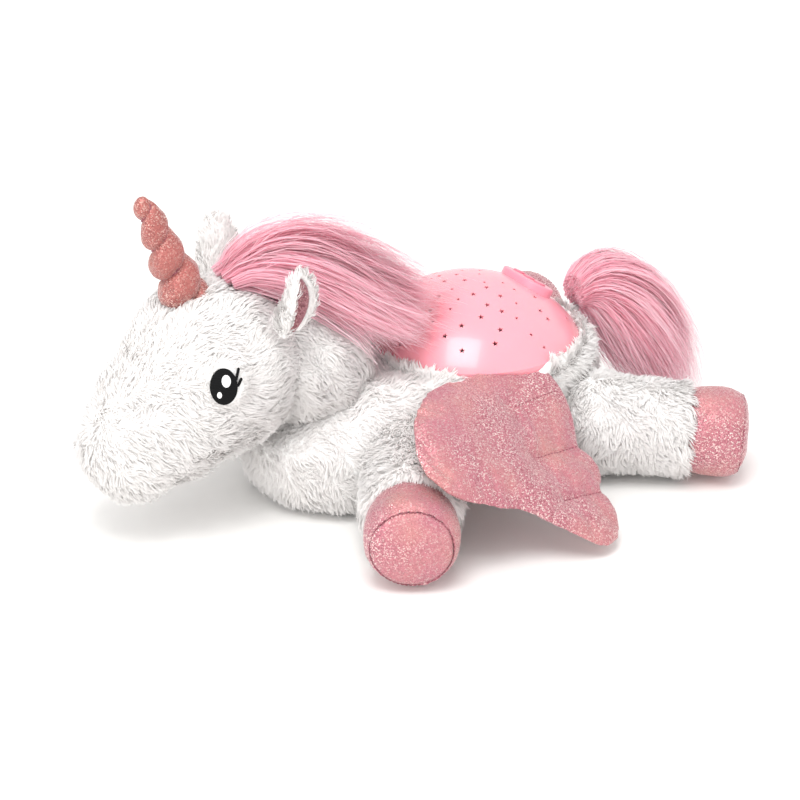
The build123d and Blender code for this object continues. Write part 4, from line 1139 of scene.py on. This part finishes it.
for side_name, side in (("left", -1), ("right", 1)):
    body = f"wing_{side_name}"
    mirror = Vector((1, side, 1))
    normal = (Vector(WING_UP) * mirror).normalized()
    down = Vector(WING_DOWN) * mirror
    down = (down - normal * down.dot(normal)).normalized()
    to_tail = down.cross(normal) * side
    wing_root = Vector(WING_ROOT) * mirror * MM
    stand = Matrix((down, to_tail, normal)).transposed().to_4x4()
    stand.translation = wing_root
    flat = stand.inverted()
    form = outer_shell(f"wing_{side_name}_cover")
    form.transform(flat)
    bmesh.ops.scale(form, verts=form.verts, vec=(WING_INSET, WING_INSET, WING_THIN))
    wing = new_piece(
        f"wing_{side_name}_quilt", form, glitter_rose, None, "glitter_rose",
        f"wing_{side_name}_cover", f"wing_{side_name}_wadding",
    )
    even_skin(wing, WING_VOXEL, 3)
    for vert in wing.data.vertices:
        # the first feather starts well inside the root's rear corner
        rear = vert.co.y - 4 * MM
        if rear > 0:
            vert.co.y -= 0.55 * rear * max(0.0, min(1.0, 1 - vert.co.x / (26 * MM)))
    held, lines = [], []
    for (x0, y0), (x1, y1) in FEATHERS:
        lines.append((Vector((x0, y0, 0)) * MM, Vector((x1, y1, 0)) * MM))
    wing.data.update()
    for vert in wing.data.vertices:
        spot = Vector((vert.co.x, vert.co.y, 0))
        gaps = []
        for start, end in lines:
            share = max(0, min(1, (spot - start).dot(end - start) / (end - start).length_squared))
            gaps.append((spot - start.lerp(end, share)).length)
        if abs(vert.normal.z) < 0.75 or min(gaps) < SEAM_WIDTH:
            held.append(vert.index)
            vert.co.z *= 0.55
    seams = KDTree(len(held))
    for index in held:
        spot = wing.data.vertices[index].co
        seams.insert((spot.x, spot.y, 0), index)
    seams.balance()
    for vert in wing.data.vertices:
        far = seams.find((vert.co.x, vert.co.y, 0))[2]
        vert.co.z += math.copysign(PUFF * (1 - math.exp(-far / PUFF_FADE)), vert.normal.z)
    fill_with_wadding(wing, held)
    form = bmesh.new()
    form.from_mesh(wing.data)
    for vert in form.verts:
        # pleats fan out from the root
        across = vert.co.y / MM + 34
        pleat = math.cos(across / 5.2) * math.exp(-((across / 26) ** 2))
        vert.co.z += 1.5 * MM * pleat * math.exp(-max(vert.co.x, 0) / (16 * MM))
    form.transform(stand)
    rumple(form, 1.3 * MM, 15 * MM, seed=11)
    for vert in form.verts:
        # the root is drawn in to the rim and over the hem
        out = Vector((vert.co.x - dome_middle.x, vert.co.y))
        near = 1 - (out.length - rim_r - ROOT_GAP) / ROOT_DRAWN
        if near > 0:
            near = min(near, 1.0)
            vert.co.xy -= out.normalized() * near * (ROOT_GAP - 0.6 * MM)
            vert.co.z += near * (rim_z + 1.5 * MM - vert.co.z) * 0.8
    form.to_mesh(wing.data)
    form.free()
    smooth = wing.modifiers.new("round", "SUBSURF")
    smooth.levels = smooth.render_levels = 1
    bake_modifiers(wing)
    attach(wing, body)

    rows = bmesh.new()
    for start, end in lines:
        run = end - start
        turn = (stand.to_3x3() @ run).to_track_quat("Z", "Y").to_matrix().to_4x4()
        size = Matrix.Diagonal((STITCH_R, STITCH_R, 1.0 * MM, 1))
        count = int(run.length / WING_STITCH)
        for k in range(1, count):
            for face in (1, -1):
                spot = start + run * k / count
                above = stand @ (spot + Vector((0, 0, face * 20 * MM)))
                hit, place = wing.ray_cast(above, -face * normal)[:2]
                if hit:
                    laid = Matrix.Translation(place + face * normal * 0.1 * MM) @ turn @ size
                    bmesh.ops.create_uvsphere(
                        rows, u_segments=6, v_segments=5, radius=1.0, matrix=laid
                    )
    new_piece(f"wing_{side_name}_stitches", rows, rose_thread, body, "thread_rose")

# ---------------------------------------------------------------- projector
# Injection-moulded ABS and its fittings. The dome is glossy and slightly milky pink; the panel on
# its rear slope is a deeper pink, and the clear inner cap is coloured dark, painted shade that darkens
# the star windows.


def moulded(name, low_code, high_code, gloss, speck, depth, **uniform):
    """Moulded plastic or sheet: a faint mottle, and a fine surface texture of its own size."""
    made, tree, shader = new_material(name, **uniform)
    place = add_node(tree, "TexCoord").outputs["Object"]
    mottle = add_node(tree, "TexNoise", {"Vector": place, "Scale": 1 / (25 * MM), "Detail": 2.0})
    tone = add_node(tree, "ValToRGB", {"Fac": mottle.outputs["Fac"]})
    tone.color_ramp.elements[0].color = colour(low_code)
    tone.color_ramp.elements[1].color = colour(high_code)
    tree.links.new(tone.outputs["Color"], shader.inputs["Base Color"])
    texture = add_node(tree, "TexNoise", {"Vector": place, "Scale": 1 / speck, "Detail": 3.0})
    rough = add_node(tree, "MapRange", {"Value": texture.outputs["Fac"], "To Min": gloss,
                                        "To Max": gloss + 0.1})
    tree.links.new(rough.outputs["Result"], shader.inputs["Roughness"])
    raised = add_node(tree, "Bump", {"Height": texture.outputs["Fac"], "Strength": 0.2,
                                     "Distance": depth})
    tree.links.new(raised.outputs["Normal"], shader.inputs["Normal"])
    return made


dome_plastic = moulded(
    "abs_gloss_pink", "F39AA6", "F5A2AE", 0.2, 4 * MM, 0.02 * MM,
    IOR=1.54, Subsurface_Weight=0.15, Subsurface_Scale=0.004, Coat_Weight=0.3,
)
panel_plastic = moulded("abs_panel_pink", "EE8DA0", "F094A6", 0.3, 1 * MM, 0.04 * MM, IOR=1.54)
button_plastic = moulded("abs_button_pink", "E5798E", "E98397", 0.35, 1 * MM, 0.04 * MM, IOR=1.54)
housing_plastic = moulded(
    "abs_spark_white", "E9E7E2", "F2F0EC", 0.5, 0.6 * MM, 0.08 * MM, IOR=1.54
)
# the clear cap is coloured dark: painted shade inside the dome, seen through the star windows
cap_painted_shade = moulded(
    "polystyrene_painted_shade", "4A1C28", "5C2632", 0.12, 6 * MM, 0.01 * MM, IOR=1.59, Alpha=0.85
)
board = moulded("solder_resist_green", "1C5A34", "2A7043", 0.35, 0.8 * MM, 0.03 * MM)
switch_plastic = moulded("switch_moulding_black", "101012", "1B1B1E", 0.45, 0.5 * MM, 0.03 * MM)
zinc = moulded("zinc_plated_steel", "A9A9AB", "C0C0C2", 0.3, 0.4 * MM, 0.02 * MM, Metallic=1.0)
nickel = moulded(
    "nickel_plated_spring_plate", "BDBAB2", "D2CFC6", 0.22, 0.5 * MM, 0.02 * MM, Metallic=1.0
)
cell_film = moulded("cell_film_dark", "20242C", "323844", 0.25, 2 * MM, 0.02 * MM, Metallic=0.6)
led_resin = moulded(
    "led_epoxy_clear", "F4F4EC", "FFFFFA", 0.05, 2 * MM, 0.01 * MM, IOR=1.55, Alpha=0.6
)

dress(dome_plastic, "shell_pink", "dome_shell")
dress(panel_plastic, "panel_pink", "control_panel")
dress(button_plastic, "button_pink", "button_timer", "button_power", "button_colour")
dress(
    housing_plastic, "housing_white", "base_tray", "dome_ring", "battery_door", "lamp_reflector"
)
dress(cap_painted_shade, "clear_cap", "dome_liner")
dress(board, "circuit_board", "button_board", "lamp_board")
dress(switch_plastic, "switch_black", "tact_switches")
dress(zinc, "screw_steel", "base_screws", "door_screw")
dress(nickel, "contact_plate", "battery_contacts")
dress(cell_film, "cell_jacket", "batteries")
dress(led_resin, "led_clear", "lamp_leds")

bpy.context.view_layer.update()
low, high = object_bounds()
